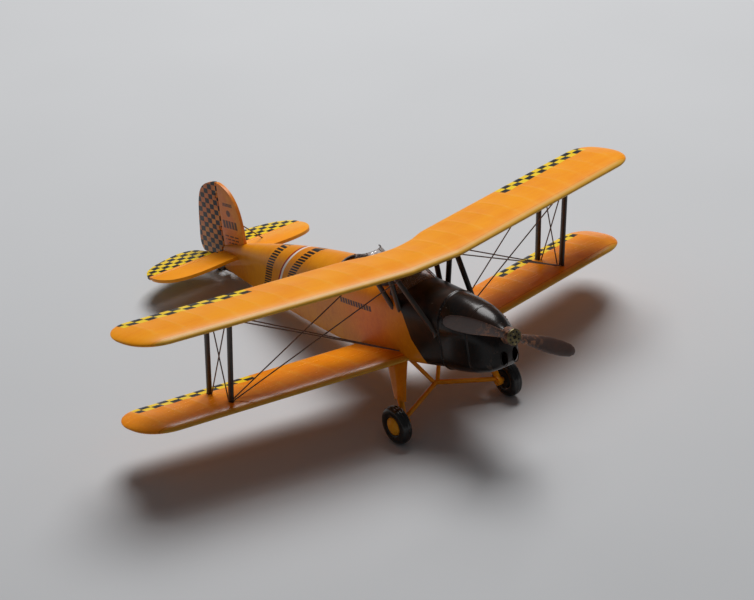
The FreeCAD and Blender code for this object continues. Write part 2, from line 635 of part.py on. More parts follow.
def main():
    outer = body(FUSELAGE_STATIONS).cut(behind_hinge(-0.5))
    cavity_stations = [station for station in FUSELAGE_STATIONS if station[0] < CAVITY_END_Y]
    cavity = body(cavity_stations, inset=WALL)
    cavity = cavity.common(box(-20, 20, FIREWALL_Y + WALL, CAVITY_END_Y, 0, 40))
    upper_wing = make_upper_wing()
    panel = wing_panel(LOWER_ROOT, LOWER_HALF_SPAN, LOWER_CHORD, LOWER_DIHEDRAL)
    inner = wing_section(3.5, LOWER_ROOT.y, LOWER_ROOT.z, LOWER_CHORD, SECTION_THICKNESS)
    root_plug = Part.Face(inner).extrude(V(LOWER_ROOT.x - 3.5, 0, 0))
    lower_wing = biggest(panel.fuse(root_plug).cut(outer))

    nodes = make_shell_parts(outer, cavity)
    nodes["front_windscreen"] = make_windscreen(outer, 8.6, (4.6, 4.4), (2.7, 2.2, 23.3), 1.0)
    nodes["rear_windscreen"] = make_windscreen(outer, 19.3, (4.4, 4.0), (2.6, 2.0, 23.9), 1.0)
    nodes.update(make_nose())
    nodes.update(make_propeller())
    nodes["upper_wing"] = upper_wing
    for side in SIDES:
        nodes[f"lower_wing_{side}"] = for_side(lower_wing, side)
    struts = make_struts(upper_wing, lower_wing, outer)
    nodes.update(struts)
    around = [upper_wing, lower_wing, outer] + [shape for name, shape in struts.items() if name.endswith("left")]
    nodes.update(make_wires(around))
    tail = make_tail(outer)
    nodes.update(tail)
    nodes.update(make_tailwheel(outer))
    nodes.update(make_gear(outer, lower_wing))
    for side in SIDES:
        half = nodes[f"fuselage_{side}_half"]
        nodes[f"fuselage_{side}_half"] = biggest(half.cut(tail["tailplane"]).cut(nodes["front_windscreen"]))
    stand_on_ground(nodes)
    os.makedirs("parts", exist_ok=True)
    for name, shape in nodes.items():
        solids = shape.Solids
        if not shape.isValid() or not solids:
            print("CHECK", name, shape.isValid(), len(solids))
        result = solids[0] if len(solids) == 1 else Part.makeCompound(solids)
        result.exportStep(os.path.join("parts", f"{name}.step"))
    print(len(nodes), "nodes")


main()
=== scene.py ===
"""Looks of a two-seat training biplane model, scale 1 to 72, built around its packed frame.

Sizes are level millimetres: the aircraft lies level, nose towards -Y, starboard towards -X and its main
axle at height 0. LevelFrame carries them to the frame, where the model stands nose-up on its wheels.
"""
from __future__ import annotations

import json
import logging
import math
from dataclasses import dataclass, field
from enum import Enum
from typing import Callable, Iterable, Sequence

import bmesh
import bpy
import numpy as np
from mathutils import Matrix, Vector
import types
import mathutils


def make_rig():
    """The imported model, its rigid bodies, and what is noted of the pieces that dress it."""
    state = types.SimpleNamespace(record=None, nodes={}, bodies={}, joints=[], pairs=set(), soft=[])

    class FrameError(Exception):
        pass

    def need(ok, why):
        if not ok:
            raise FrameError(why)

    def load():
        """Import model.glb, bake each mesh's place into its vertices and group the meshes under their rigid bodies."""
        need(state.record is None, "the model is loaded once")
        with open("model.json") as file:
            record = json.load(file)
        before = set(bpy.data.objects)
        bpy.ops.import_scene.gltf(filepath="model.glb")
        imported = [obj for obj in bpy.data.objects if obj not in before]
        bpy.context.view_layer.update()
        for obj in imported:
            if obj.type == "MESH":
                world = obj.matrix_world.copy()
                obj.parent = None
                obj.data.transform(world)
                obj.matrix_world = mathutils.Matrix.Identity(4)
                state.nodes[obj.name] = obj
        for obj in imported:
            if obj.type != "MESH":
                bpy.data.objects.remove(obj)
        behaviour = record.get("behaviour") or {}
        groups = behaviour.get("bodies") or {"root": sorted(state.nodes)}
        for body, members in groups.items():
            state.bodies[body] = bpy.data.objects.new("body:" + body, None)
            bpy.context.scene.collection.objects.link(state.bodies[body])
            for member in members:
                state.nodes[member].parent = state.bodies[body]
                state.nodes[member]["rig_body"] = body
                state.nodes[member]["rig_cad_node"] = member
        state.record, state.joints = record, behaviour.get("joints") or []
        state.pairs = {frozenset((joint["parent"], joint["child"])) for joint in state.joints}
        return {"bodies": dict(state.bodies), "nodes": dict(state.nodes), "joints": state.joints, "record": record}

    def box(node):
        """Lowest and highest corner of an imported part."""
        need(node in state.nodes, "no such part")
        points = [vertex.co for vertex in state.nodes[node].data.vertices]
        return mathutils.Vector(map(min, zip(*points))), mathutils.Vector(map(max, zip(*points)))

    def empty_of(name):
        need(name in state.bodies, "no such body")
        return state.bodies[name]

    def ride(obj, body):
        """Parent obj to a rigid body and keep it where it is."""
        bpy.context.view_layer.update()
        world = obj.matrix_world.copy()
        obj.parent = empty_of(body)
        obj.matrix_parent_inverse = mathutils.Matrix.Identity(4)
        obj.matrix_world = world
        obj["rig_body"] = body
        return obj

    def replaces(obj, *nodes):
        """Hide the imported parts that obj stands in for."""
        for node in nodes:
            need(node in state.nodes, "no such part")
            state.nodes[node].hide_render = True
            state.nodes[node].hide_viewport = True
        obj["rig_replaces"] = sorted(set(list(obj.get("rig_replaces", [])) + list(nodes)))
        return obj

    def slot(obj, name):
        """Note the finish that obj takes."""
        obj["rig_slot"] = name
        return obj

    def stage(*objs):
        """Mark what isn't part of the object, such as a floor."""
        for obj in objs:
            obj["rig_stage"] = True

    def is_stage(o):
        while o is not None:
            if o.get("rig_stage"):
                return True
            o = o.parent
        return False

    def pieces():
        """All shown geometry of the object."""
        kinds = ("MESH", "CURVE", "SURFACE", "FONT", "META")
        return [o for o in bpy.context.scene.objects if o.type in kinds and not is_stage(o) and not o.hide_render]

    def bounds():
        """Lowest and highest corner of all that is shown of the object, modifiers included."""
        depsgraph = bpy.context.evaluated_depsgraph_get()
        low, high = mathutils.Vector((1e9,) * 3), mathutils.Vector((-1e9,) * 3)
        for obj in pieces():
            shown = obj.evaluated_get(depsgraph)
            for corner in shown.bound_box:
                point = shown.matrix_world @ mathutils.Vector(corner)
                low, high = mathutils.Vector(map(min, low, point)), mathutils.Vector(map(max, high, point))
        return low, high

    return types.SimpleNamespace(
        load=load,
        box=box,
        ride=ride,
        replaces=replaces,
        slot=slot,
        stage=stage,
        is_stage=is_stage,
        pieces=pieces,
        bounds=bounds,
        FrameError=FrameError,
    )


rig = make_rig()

LOG = logging.getLogger("biplane")
SIZE_FILE = "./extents.json"
Colour = tuple[float, float, float]
Operand = "Field | float"
METRE = 0.001  # metres in a millimetre


class Body(Enum):
    """The moving bodies of the model."""

    AIRFRAME = "airframe"
    PROPELLER = "propeller_assembly"
    LEFT_WHEEL = "wheel_left"
    RIGHT_WHEEL = "wheel_right"
    TAIL_WHEEL = "tail_wheel"
    RUDDER = "rudder_assembly"
    ELEVATORS = "elevators"


class Side(Enum):
    """Port is on +X, starboard on -X."""

    LEFT = 1
    RIGHT = -1

    @property
    def word(self) -> str:
        """The side's name as it stands in piece names."""
        return self.name.lower()


class Slot(Enum):
    """The record's material slots."""

    FUSELAGE = "orange_fuselage"
    WINGS = "orange_wings"
    TAIL = "orange_tail"
    GEAR = "orange_gear"
    NOSE = "black_nose"
    STRUTS = "black_struts"
    COCKPIT = "cockpit_grey"
    PANEL = "panel_black"
    SEAT = "seat_tan"
    SCREEN = "clear_screen"
    PLATE = "brass_plate"
    BOLTS = "dark_bolts"
    SHAFT = "steel_shaft"
    PROPELLER = "propeller_brown"
    WIRE = "rigging_wire"
    TYRE = "tyre_black"
    HUB = "hub_yellow"


# ---- the level frame ----
PROPELLER_JOINT = Vector((0.0, -17.0, 15.5))


@dataclass(frozen=True)
class LevelFrame:
    """The turn and shift from level millimetres to the frame in metres."""

    pitch: float
    shift: Vector

    @classmethod
    def from_record(cls, record: dict) -> "LevelFrame":
        """Reads the pitch and the shift from the propeller's joint.

        Args:
            record: the packed record.

        Returns:
            The level frame of this model.
        """
        joints = {joint["name"]: joint for joint in record["behaviour"]["joints"]}
        spin = joints["propeller_spin"]
        axis = Vector(spin["axis"])
        pitch = math.atan2(axis.z, -axis.y)
        turned = Matrix.Rotation(-pitch, 3, "X") @ (PROPELLER_JOINT * METRE)
        return cls(pitch, Vector(spin["pos_m"]) - turned)

    @property
    def matrix(self) -> Matrix:
        """The matrix from level millimetres to frame metres."""
        turn = Matrix.Rotation(-self.pitch, 4, "X")
        return Matrix.Translation(self.shift) @ turn @ Matrix.Scale(METRE, 4)

    @property
    def back_shift(self) -> Vector:
        """The shift of the way back, from frame metres to level millimetres."""
        return (Matrix.Rotation(self.pitch, 3, "X") @ self.shift) / -METRE


# ---- arithmetic on node sockets ----
def operation(name: str, meaning: str) -> Callable[..., Field]:
    """Makes a method of Field out of one operation of the Math node.

    Args:
        name: the operation.
        meaning: the method's docstring.

    Returns:
        The method.
    """
    def method(self: Field, *others: Operand) -> Field:
        """Adds the node."""
        return self.math(name, self, *others)

    method.__doc__ = meaning
    return method


class Field:
    """A value of a node tree, geometry or shader, written as ordinary arithmetic."""

    __add__ = __radd__ = operation("ADD", "Sum.")
    __sub__ = operation("SUBTRACT", "Difference.")
    __mul__ = __rmul__ = operation("MULTIPLY", "Product.")
    __truediv__ = operation("DIVIDE", "Quotient.")
    __pow__ = operation("POWER", "Power.")
    absolute = operation("ABSOLUTE", "Value without its sign.")
    sign = operation("SIGN", "The sign, as -1, 0 or 1.")
    root = operation("SQRT", "Square root.")
    sine = operation("SINE", "Sine of an angle in radians.")
    cosine = operation("COSINE", "Cosine of an angle in radians.")
    fraction = operation("FRACT", "Part after the point.")
    floor = operation("FLOOR", "Whole part.")
    least = operation("MINIMUM", "The smaller of two.")
    most = operation("MAXIMUM", "The larger of two.")
    above = operation("GREATER_THAN", "1 where the value is greater.")
    below = operation("LESS_THAN", "1 where the value is less.")

    def __init__(self, tree: bpy.types.NodeTree, socket: bpy.types.NodeSocket) -> None:
        """Keeps the tree and the output socket that holds the value."""
        self.tree = tree
        self.socket = socket

    def math(self, kind: str, *operands: Operand) -> Field:
        """Adds one Math node.

        Args:
            kind: the node's operation.
            operands: fields or numbers, in the order of the node's inputs.

        Returns:
            The node's result.
        """
        node = self.tree.nodes.new("ShaderNodeMath")
        node.operation = kind
        for place, operand in enumerate(operands):
            plug(self.tree, operand, node.inputs[place])
        return Field(self.tree, node.outputs[0])

    def __rsub__(self, other: Operand) -> Field:
        """Difference from a number."""
        return self.math("SUBTRACT", other, self)

    def between(self, low: Operand, high: Operand) -> Field:
        """1 inside a range."""
        return self.above(low) * self.below(high)

    def clamped(self) -> Field:
        """The value kept between 0 and 1."""
        return self.most(0.0).least(1.0)

    def eased(self, low: float, high: float) -> Field:
        """A smooth step.

        Args:
            low: value where the step starts.
            high: value where it ends; it may be below low, for a falling step.

        Returns:
            0 before the step, 1 after it.
        """
        part = ((self - low) / (high - low)).clamped()
        return part * part * (3.0 - 2.0 * part)


def plug(tree: bpy.types.NodeTree, value: object, target: bpy.types.NodeSocket) -> None:
    """Links a field or socket to an input, or sets the input to a plain value.

    Args:
        tree: the tree that holds the input.
        value: a Field, a socket, a number, or a sequence of numbers.
        target: the input socket.
    """
    if isinstance(value, Field):
        tree.links.new(value.socket, target)
    elif isinstance(value, bpy.types.NodeSocket):
        tree.links.new(value, target)
    else:
        target.default_value = value


class Writer:
    """Adds nodes to one tree."""

    tree: bpy.types.NodeTree

    def node(self, kind: str, **inputs: object) -> bpy.types.Node:
        """Adds a node.

        Args:
            kind: the node's type name.
            inputs: its inputs, with underscores for the spaces in their names.

        Returns:
            The node.
        """
        return self.fill(self.tree.nodes.new(kind), **inputs)

    def fill(self, node: bpy.types.Node, **inputs: object) -> bpy.types.Node:
        """Fills inputs of a node.

        Args:
            node: the node.
            inputs: values by name, with underscores for the spaces in the names.

        Returns:
            The node.
        """
        for name, value in inputs.items():
            plug(self.tree, value, node.inputs[name.replace("_", " ")])
        return node

    def axes(self, vector: bpy.types.NodeSocket) -> list[Field]:
        """The X, Y and Z of a vector."""
        parts = self.node("ShaderNodeSeparateXYZ", Vector=vector)
        return [Field(self.tree, socket) for socket in parts.outputs]


# ---- shader effects ----
@dataclass(frozen=True)
class Effect:
    """A shader node group that more than one finish uses."""

    name: str
    inputs: tuple[tuple[str, float], ...]
    outputs: tuple[str, ...]
    write: Callable[["EffectSheet"], dict[str, Field]]

    def tree(self) -> bpy.types.NodeTree:
        """Builds the group once and gives it back after that.

        Returns:
            The node group.
        """
        found = bpy.data.node_groups.get(self.name)
        if found:
            return found
        group = bpy.data.node_groups.new(self.name, "ShaderNodeTree")
        group.interface.new_socket("Place", in_out="INPUT", socket_type="NodeSocketVector")
        for name, value in self.inputs:
            socket = group.interface.new_socket(name, in_out="INPUT", socket_type="NodeSocketFloat")
            socket.default_value = value
        for name in self.outputs:
            group.interface.new_socket(name, in_out="OUTPUT", socket_type="NodeSocketFloat")
        sheet = EffectSheet(group)
        sheet.node("NodeGroupOutput", **self.write(sheet))
        return group


class Textures(Writer):
    """Texture nodes shared by groups and materials."""

    place: bpy.types.NodeSocket

    def noise(self, scale: Operand, detail: float = 3.0, rough: float = 0.5,
              stretch: Sequence[float] | None = None, warp: float = 0.0) -> Field:
        """Soft noise.

        Args:
            scale: lumps per millimetre.
            detail: number of finer layers.
            rough: weight of the finer layers.
            stretch: factors along X, Y and Z.
            warp: how much the noise is bent by itself.

        Returns:
            The noise, about 0 to 1.
        """
        place = self.place
        if stretch:
            place = self.node("ShaderNodeMapping", Vector=place, Scale=stretch).outputs["Vector"]
        node = self.node("ShaderNodeTexNoise", Vector=place, Scale=scale, Detail=detail, Roughness=rough,
                         Distortion=warp)
        return Field(self.tree, node.outputs[0])

    def specks(self, scale: Operand) -> tuple[Field, Field]:
        """Scattered cells.

        Args:
            scale: cells per millimetre.

        Returns:
            Distance to the nearest cell centre, and a random value of that cell.
        """
        node = self.node("ShaderNodeTexVoronoi", Vector=self.place, Scale=scale)
        parts = self.node("ShaderNodeSeparateColor", Color=node.outputs["Color"])
        return Field(self.tree, node.outputs["Distance"]), Field(self.tree, parts.outputs[0])

    def facing_up(self) -> Field:
        """How far the surface faces up, from -1 to 1."""
        return self.axes(self.node("ShaderNodeNewGeometry").outputs["Normal"])[2]

    def pointiness(self) -> Field:
        """About 0.5 on flat surfaces, more on edges that stand out."""
        return Field(self.tree, self.node("ShaderNodeNewGeometry").outputs["Pointiness"])


class EffectSheet(Textures):
    """The inside of a shader group."""

    def __init__(self, group: bpy.types.NodeTree) -> None:
        """Opens a group for writing."""
        self.tree = group
        self.entering = group.nodes.new("NodeGroupInput")
        self.place = self.entering.outputs["Place"]

    def value(self, name: str) -> Field:
        """The group's input of that name."""
        return Field(self.tree, self.entering.outputs[name])


def write_brushing(sheet: EffectSheet) -> dict[str, Field]:
    """Brush marks that run spanwise, over soft blotches."""
    fine = sheet.value("Fineness")
    streaks = sheet.noise(fine, 4.0, 0.6, stretch=(0.25, 1.6, 1.0), warp=0.6)
    blotches = sheet.noise(fine * 0.16, 3.0, 0.5)
    grain = sheet.noise(fine * 2.6, 4.0, 0.62)
    return {"Tone": blotches * 0.6 + streaks * 0.4, "Height": streaks * 0.7 + grain * 0.3, "Grain": grain}


def write_dust(sheet: EffectSheet) -> dict[str, Field]:
    """Pale grains, most of them on surfaces that face up."""
    distance, chance = sheet.specks(sheet.value("Grains"))
    size = sheet.noise(1.3, 2.0) * 0.22
    kept = chance.above(1.0 - sheet.value("Share"))
    grains = (size - distance).above(0.0) * kept
    settled = sheet.facing_up().eased(-0.2, 0.8)
    return {"Mask": grains * (settled * 0.8 + 0.2)}


def write_wear(sheet: EffectSheet) -> dict[str, Field]:
    """Paint rubbed thin along edges that stand out, and in patches."""
    ragged = sheet.noise(sheet.value("Raggedness"), 4.0, 0.65)
    edges = (sheet.pointiness() - 0.5) * sheet.value("Edge Reach")
    rubbed = (edges + ragged * 0.9).eased(0.78, 0.98)
    patches = sheet.noise(sheet.value("Raggedness") * 0.45, 5.0, 0.7).eased(0.52, 0.66)
    return {"Edges": rubbed, "Patches": patches * ragged.eased(0.35, 0.6)}


def write_checks(sheet: EffectSheet) -> dict[str, Field]:
    """Squares of a chess board, with the slight waver of a hand-laid transfer."""
    waver = (sheet.noise(0.9, 2.0) - 0.5) * 0.12
    along = (sheet.value("Along") + waver) / sheet.value("Square")
    across = (sheet.value("Across") + waver) / sheet.value("Row")
    odd = ((along.floor() + across.floor()) * 0.5).fraction()
    return {"Mask": odd.above(0.25)}


BRUSHING = Effect("brush_marks", (("Fineness", 1.2),), ("Tone", "Height", "Grain"), write_brushing)
DUST = Effect("dust_grains", (("Grains", 2.0), ("Share", 0.08)), ("Mask",), write_dust)
WEAR = Effect("rubbed_paint", (("Raggedness", 1.6), ("Edge Reach", 3.0)), ("Edges", "Patches"), write_wear)
CHECKS = Effect("check_squares", (("Along", 0.0), ("Across", 0.0), ("Square", 1.5), ("Row", 1.5)),
                ("Mask",), write_checks)


class Dresser(Textures):
    """One material being written: a Principled surface that reads level millimetres."""

    def __init__(self, name: str, level: LevelFrame) -> None:
        """Starts a material.

        Args:
            name: the material's name.
            level: the frame that its patterns are laid out in.
        """
        self.material = bpy.data.materials.new(name)
        self.material.use_nodes = True
        self.tree = self.material.node_tree
        self.tree.nodes.clear()
        self.surface = self.node("ShaderNodeBsdfPrincipled")
        self.node("ShaderNodeOutputMaterial", Surface=self.surface.outputs[0])
        source = self.node("ShaderNodeTexCoord").outputs["Object"]
        mapping = self.node("ShaderNodeMapping", Vector=source, Scale=(1.0 / METRE,) * 3,
                            Rotation=(level.pitch, 0.0, 0.0), Location=level.back_shift)
        self.place = mapping.outputs["Vector"]
        self.x, self.y, self.z = self.axes(self.place)

    def effect(self, effect: Effect, **values: Operand) -> dict[str, Field]:
        """Places a shader group.

        Args:
            effect: the group to place.
            values: its inputs, with underscores for the spaces in their names.

        Returns:
            The group's outputs by name.
        """
        node = self.tree.nodes.new("ShaderNodeGroup")
        node.node_tree = effect.tree()
        self.fill(node, Place=self.place, **values)
        return {name: Field(self.tree, node.outputs[name]) for name in effect.outputs}

    def mix(self, share: Operand, first: object, second: object) -> bpy.types.NodeSocket:
        """Blends two colours.

        Args:
            share: part of the second colour, from 0 to 1.
            first: a colour or colour socket.
            second: a colour or colour socket.

        Returns:
            The blended colour.
        """
        node = self.tree.nodes.new("ShaderNodeMix")
        node.data_type = "RGBA"
        plug(self.tree, share, node.inputs[0])
        self.colour(first, node.inputs[6])
        self.colour(second, node.inputs[7])
        return node.outputs[2]

    def colour(self, value: object, target: bpy.types.NodeSocket) -> None:
        """Sets a colour input to a colour, or links a colour socket to it."""
        plug(self.tree, (*value, 1.0) if isinstance(value, tuple) else value, target)

    def finish(self, colour: object, roughness: Operand, height: Field | None = None, relief: float = 0.0,
               **sockets: object) -> bpy.types.Material:
        """Ends the material.

        Args:
            colour: the base colour, a socket or a colour.
            roughness: the roughness, a field or a number.
            height: field that the bump follows.
            relief: depth of the bump in millimetres.
            sockets: more Principled inputs, with underscores for spaces.

        Returns:
            The finished material.
        """
        self.colour(colour, self.surface.inputs["Base Color"])
        if height is not None:
            bump = self.node("ShaderNodeBump", Distance=relief * METRE, Height=height)
            sockets["Normal"] = bump.outputs[0]
        self.fill(self.surface, Roughness=roughness, **sockets)
        return self.material


# ---- finishes ----
BLACK_MARK: Colour = (0.012, 0.011, 0.010)
YELLOW_MARK: Colour = (0.88, 0.60, 0.012)
DUST_COLOUR: Colour = (0.42, 0.38, 0.33)
ORANGE: Colour = (0.94, 0.345, 0.006)
ORANGE_DEEP: Colour = (0.88, 0.27, 0.004)
ORANGE_PALE: Colour = (0.93, 0.47, 0.06)
LEADING_YELLOW: Colour = (0.62, 0.36, 0.045)


@dataclass(frozen=True)
class OrangePaint:
    """Brushed orange enamel, with the marks that one part carries."""

    name: str
    base: Colour = ORANGE
    deep: Colour = ORANGE_DEEP
    pale: Colour = ORANGE_PALE
    roughness: float = 0.3
    marks: Callable[[Dresser, object], object] | None = None
    relief: float = 0.012
    gloss: float = 0.24

    def build(self, sheet: Dresser) -> bpy.types.Material:
        """Writes the material.

        Args:
            sheet: the new material.

        Returns:
            The material.
        """
        brushing = sheet.effect(BRUSHING, Fineness=0.9)
        wear = sheet.effect(WEAR, Raggedness=1.1, Edge_Reach=1.6)
        dust = sheet.effect(DUST, Grains=1.5, Share=0.035)
        colour = sheet.mix(brushing["Tone"].eased(0.35, 0.68), self.deep, self.base)
        colour = sheet.mix(brushing["Tone"].eased(0.1, 0.75) * 0.55, colour, self.base)
        colour = sheet.mix(brushing["Grain"].eased(0.55, 0.72) * 0.3, colour, self.pale)
        colour = sheet.mix(wear["Edges"] * 0.35, colour, self.pale)
        if self.marks:
            colour = self.marks(sheet, colour)
        colour = sheet.mix(dust["Mask"] * 0.35, colour, DUST_COLOUR)
        rough = self.roughness + brushing["Height"] * 0.12 + dust["Mask"] * 0.2
        return sheet.finish(colour, rough, brushing["Height"], self.relief,
                            Coat_Weight=0.0, Specular_IOR_Level=self.gloss)


@dataclass(frozen=True)
class NosePaint:
    """Thick glossy brown-black enamel with pale dust in its corners."""

    name: str = "nose_enamel"
    base: Colour = (0.0048, 0.0037, 0.0032)
    brown: Colour = (0.018, 0.0075, 0.004)
    roughness: float = 0.17

    def build(self, sheet: Dresser) -> bpy.types.Material:
        """Writes the material."""
        brushing = sheet.effect(BRUSHING, Fineness=1.4)
        wear = sheet.effect(WEAR, Raggedness=1.8, Edge_Reach=4.0)
        dust = sheet.effect(DUST, Grains=2.6, Share=0.075)
        colour = sheet.mix(brushing["Tone"].eased(0.42, 0.62), self.base, self.brown)
        colour = sheet.mix(wear["Edges"] * 0.5, colour, (0.075, 0.045, 0.03))
        by_seam = (sheet.y - FIREWALL_Y).absolute().eased(0.9, 0.15)
        flecks = by_seam * sheet.noise(3.2, 4.0, 0.75).eased(0.6, 0.68) * sheet.noise(0.5).eased(0.42, 0.62)
        colour = sheet.mix(flecks * 0.6, colour, (0.34, 0.31, 0.29))
        colour = sheet.mix(dust["Mask"] * 0.55, colour, DUST_COLOUR)
        rough = self.roughness + brushing["Height"] * 0.14 + dust["Mask"] * 0.3
        return sheet.finish(colour, rough, brushing["Height"] + dust["Mask"] * 0.6, 0.014,
                            Specular_IOR_Level=0.22, Coat_Weight=0.05, Coat_Roughness=0.08)


@dataclass(frozen=True)
class DarkPaint:
    """Hand-brushed black or grey over small parts."""

    name: str
    base: Colour
    rubbed: Colour
    roughness: float = 0.35
    metallic: float = 0.0
    coat: float = 0.2
    relief: float = 0.01

    def build(self, sheet: Dresser) -> bpy.types.Material:
        """Writes the material."""
        brushing = sheet.effect(BRUSHING, Fineness=2.2)
        wear = sheet.effect(WEAR, Raggedness=2.4, Edge_Reach=4.0)
        dust = sheet.effect(DUST, Grains=3.0, Share=0.05)
        lighter = tuple(0.5 * (a + b) for a, b in zip(self.base, self.rubbed))
        colour = sheet.mix(brushing["Tone"].eased(0.3, 0.75) * 0.5, self.base, lighter)
        colour = sheet.mix((wear["Edges"] * 0.7 + wear["Patches"] * 0.25).clamped(), colour, self.rubbed)
        colour = sheet.mix(dust["Mask"] * 0.4, colour, DUST_COLOUR)
        rough = self.roughness + brushing["Height"] * 0.15 + dust["Mask"] * 0.2
        return sheet.finish(colour, rough, brushing["Height"], self.relief,
                            Metallic=self.metallic, Coat_Weight=self.coat, Coat_Roughness=0.2)


@dataclass(frozen=True)
class WornBlade:
    """Dark brown propeller paint, rubbed to copper in the middle of each blade."""

    name: str = "propeller_paint"
    base: Colour = (0.052, 0.024, 0.017)
    copper: Colour = (0.50, 0.19, 0.07)
    rim: Colour = (0.28, 0.13, 0.075)

    def build(self, sheet: Dresser) -> bpy.types.Material:
        """Writes the material."""
        brushing = sheet.effect(BRUSHING, Fineness=2.0)
        wear = sheet.effect(WEAR, Raggedness=1.5, Edge_Reach=5.0)
        flakes = sheet.noise(0.95, 6.0, 0.74, warp=0.8).eased(0.49, 0.57)
        out = (sheet.x ** 2.0 + (sheet.z - PROPELLER_JOINT.z) ** 2.0).root()
        flakes = flakes * (out.eased(8.6, 4.2) * 0.93 + 0.07)
        colour = sheet.mix(brushing["Tone"].eased(0.35, 0.65), self.base, (0.065, 0.026, 0.016))
        colour = sheet.mix((wear["Patches"] * flakes + flakes * 0.45).clamped() * 0.9, colour, self.copper)
        colour = sheet.mix(wear["Edges"] * 0.75, colour, self.rim)
        rough = 0.34 + brushing["Height"] * 0.2 + flakes * 0.1
        return sheet.finish(colour, rough, brushing["Height"] + flakes * 0.5, 0.02,
                            Coat_Weight=0.25, Coat_Roughness=0.2)


@dataclass(frozen=True)
class BrassPlate:
    """Dull brass of the hub plate, dark in its corners."""

    name: str = "hub_brass"

    def build(self, sheet: Dresser) -> bpy.types.Material:
        """Writes the material."""
        brushing = sheet.effect(BRUSHING, Fineness=5.0)
        wear = sheet.effect(WEAR, Raggedness=4.0, Edge_Reach=5.0)
        colour = sheet.mix(brushing["Tone"].eased(0.4, 0.6), (0.045, 0.035, 0.016), (0.19, 0.15, 0.07))
        colour = sheet.mix(wear["Edges"] * 0.6, colour, (0.36, 0.29, 0.15))
        return sheet.finish(colour, 0.3 + brushing["Height"] * 0.25, brushing["Height"], 0.02, Metallic=0.85)


@dataclass(frozen=True)
class Rubber:
    """Tyres: glossy black with faint mould lines round the tread."""

    name: str
    axle: Vector

    def build(self, sheet: Dresser) -> bpy.types.Material:
        """Writes the material."""
        grain = sheet.noise(3.5, 3.0, 0.6)
        dust = sheet.effect(DUST, Grains=2.8, Share=0.07)
        across = (sheet.x.absolute() - self.axle.x).absolute()
        lines = (across * 1.6).fraction().between(0.42, 0.58)
        colour = sheet.mix(grain.eased(0.35, 0.7), (0.005, 0.0045, 0.004), (0.012, 0.010, 0.009))
        colour = sheet.mix(dust["Mask"] * 0.35, colour, DUST_COLOUR)
        return sheet.finish(colour, 0.12 + grain * 0.16, grain * 0.6 - lines * 0.3, 0.02)


@dataclass(frozen=True)
class SmokedClear:
    """Clear moulding of the windscreens, yellowed and hazy with age."""

    name: str = "smoked_clear"

    def build(self, sheet: Dresser) -> bpy.types.Material:
        """Writes the material."""
        haze = sheet.noise(0.8, 3.0, 0.6, stretch=(2.5, 2.5, 0.3))
        colour = sheet.mix(haze.eased(0.3, 0.7), (0.62, 0.52, 0.48), (0.86, 0.80, 0.77))
        return sheet.finish(colour, 0.06 + haze * 0.12, haze, 0.002, Transmission_Weight=0.92, IOR=1.46,
                            Coat_Weight=0.0)


# ---- marks, each a rule in level millimetres ----
@dataclass(frozen=True)
class WingChecks:
    """Black and yellow squares along a swept trailing edge, on top only."""

    root: Vector
    chord: float
    sweep: float
    first: float
    last: float
    square: float = 1.62
    row: float = 1.62
    rows: float = 2.0
    leading_band: float = 1.1
    seam: float = 0.25

    def __call__(self, sheet: Dresser, colour: object) -> object:
        """Lays the squares over a colour.

        Args:
            sheet: the material being written.
            colour: the paint below.

        Returns:
            The colour with its marks.
        """
        span = sheet.x.absolute()
        lead = (span - self.root.x).most(0.0) * self.sweep + self.root.y
        behind = sheet.y - lead
        edge = self.chord - behind
        band = behind.eased(self.leading_band, self.leading_band * 0.35) * 0.8
        colour = sheet.mix(band, colour, LEADING_YELLOW)
        seam = (behind - self.leading_band * 0.9).absolute().eased(0.12, 0.04)
        colour = sheet.mix(seam * self.seam, colour, (0.42, 0.11, 0.004))
        ribs = ((span / RIB_PITCH + 0.5).fraction() - 0.5).absolute().eased(0.16, 0.02)
        colour = sheet.mix(ribs * 0.22 * sheet.noise(0.7).eased(0.2, 0.7), colour, ORANGE_PALE)
        zone = span.between(self.first, self.last) * edge.between(-1.0, self.row * self.rows)
        zone = zone * sheet.facing_up().above(0.15)
        squares = sheet.effect(CHECKS, Along=span - self.first, Across=edge, Square=self.square, Row=self.row)
        scuffs = sheet.noise(2.2, 4.0, 0.7).eased(0.66, 0.74)
        marks = sheet.mix(squares["Mask"], YELLOW_MARK, BLACK_MARK)
        return sheet.mix(zone * (1.0 - scuffs * 0.8), colour, marks)


@dataclass(frozen=True)
class ElevatorChecks:
    """Black and yellow squares over the whole elevators."""

    hinge_y: float
    square: float = 1.4
    row: float = 1.3

    def __call__(self, sheet: Dresser, colour: object) -> object:
        """Lays the squares over a colour."""
        squares = sheet.effect(CHECKS, Along=sheet.x.absolute(), Across=sheet.y - self.hinge_y,
                               Square=self.square, Row=self.row)
        scuffs = sheet.noise(2.0, 4.0, 0.7).eased(0.64, 0.72)
        marks = sheet.mix(squares["Mask"], YELLOW_MARK, BLACK_MARK)
        zone = sheet.y.above(self.hinge_y + 0.25)
        return sheet.mix(zone * (1.0 - scuffs * 0.6), colour, marks)


@dataclass(frozen=True)
class RudderChecks:
    """Black squares in columns that follow the leaning hinge line."""

    hinge_y: float
    hinge_z: float
    lean: float
    column: float = 1.36
    row: float = 0.98

    def __call__(self, sheet: Dresser, colour: object) -> object:
        """Lays the squares over a colour."""
        behind = sheet.y - ((sheet.z - self.hinge_z) * self.lean + self.hinge_y)
        squares = sheet.effect(CHECKS, Along=behind - 0.1, Across=sheet.z - self.hinge_z,
                               Square=self.column, Row=self.row)
        scuffs = sheet.noise(2.0, 4.0, 0.7).eased(0.66, 0.74)
        return sheet.mix(squares["Mask"] * (1.0 - scuffs * 0.6), colour, (0.022, 0.02, 0.02))


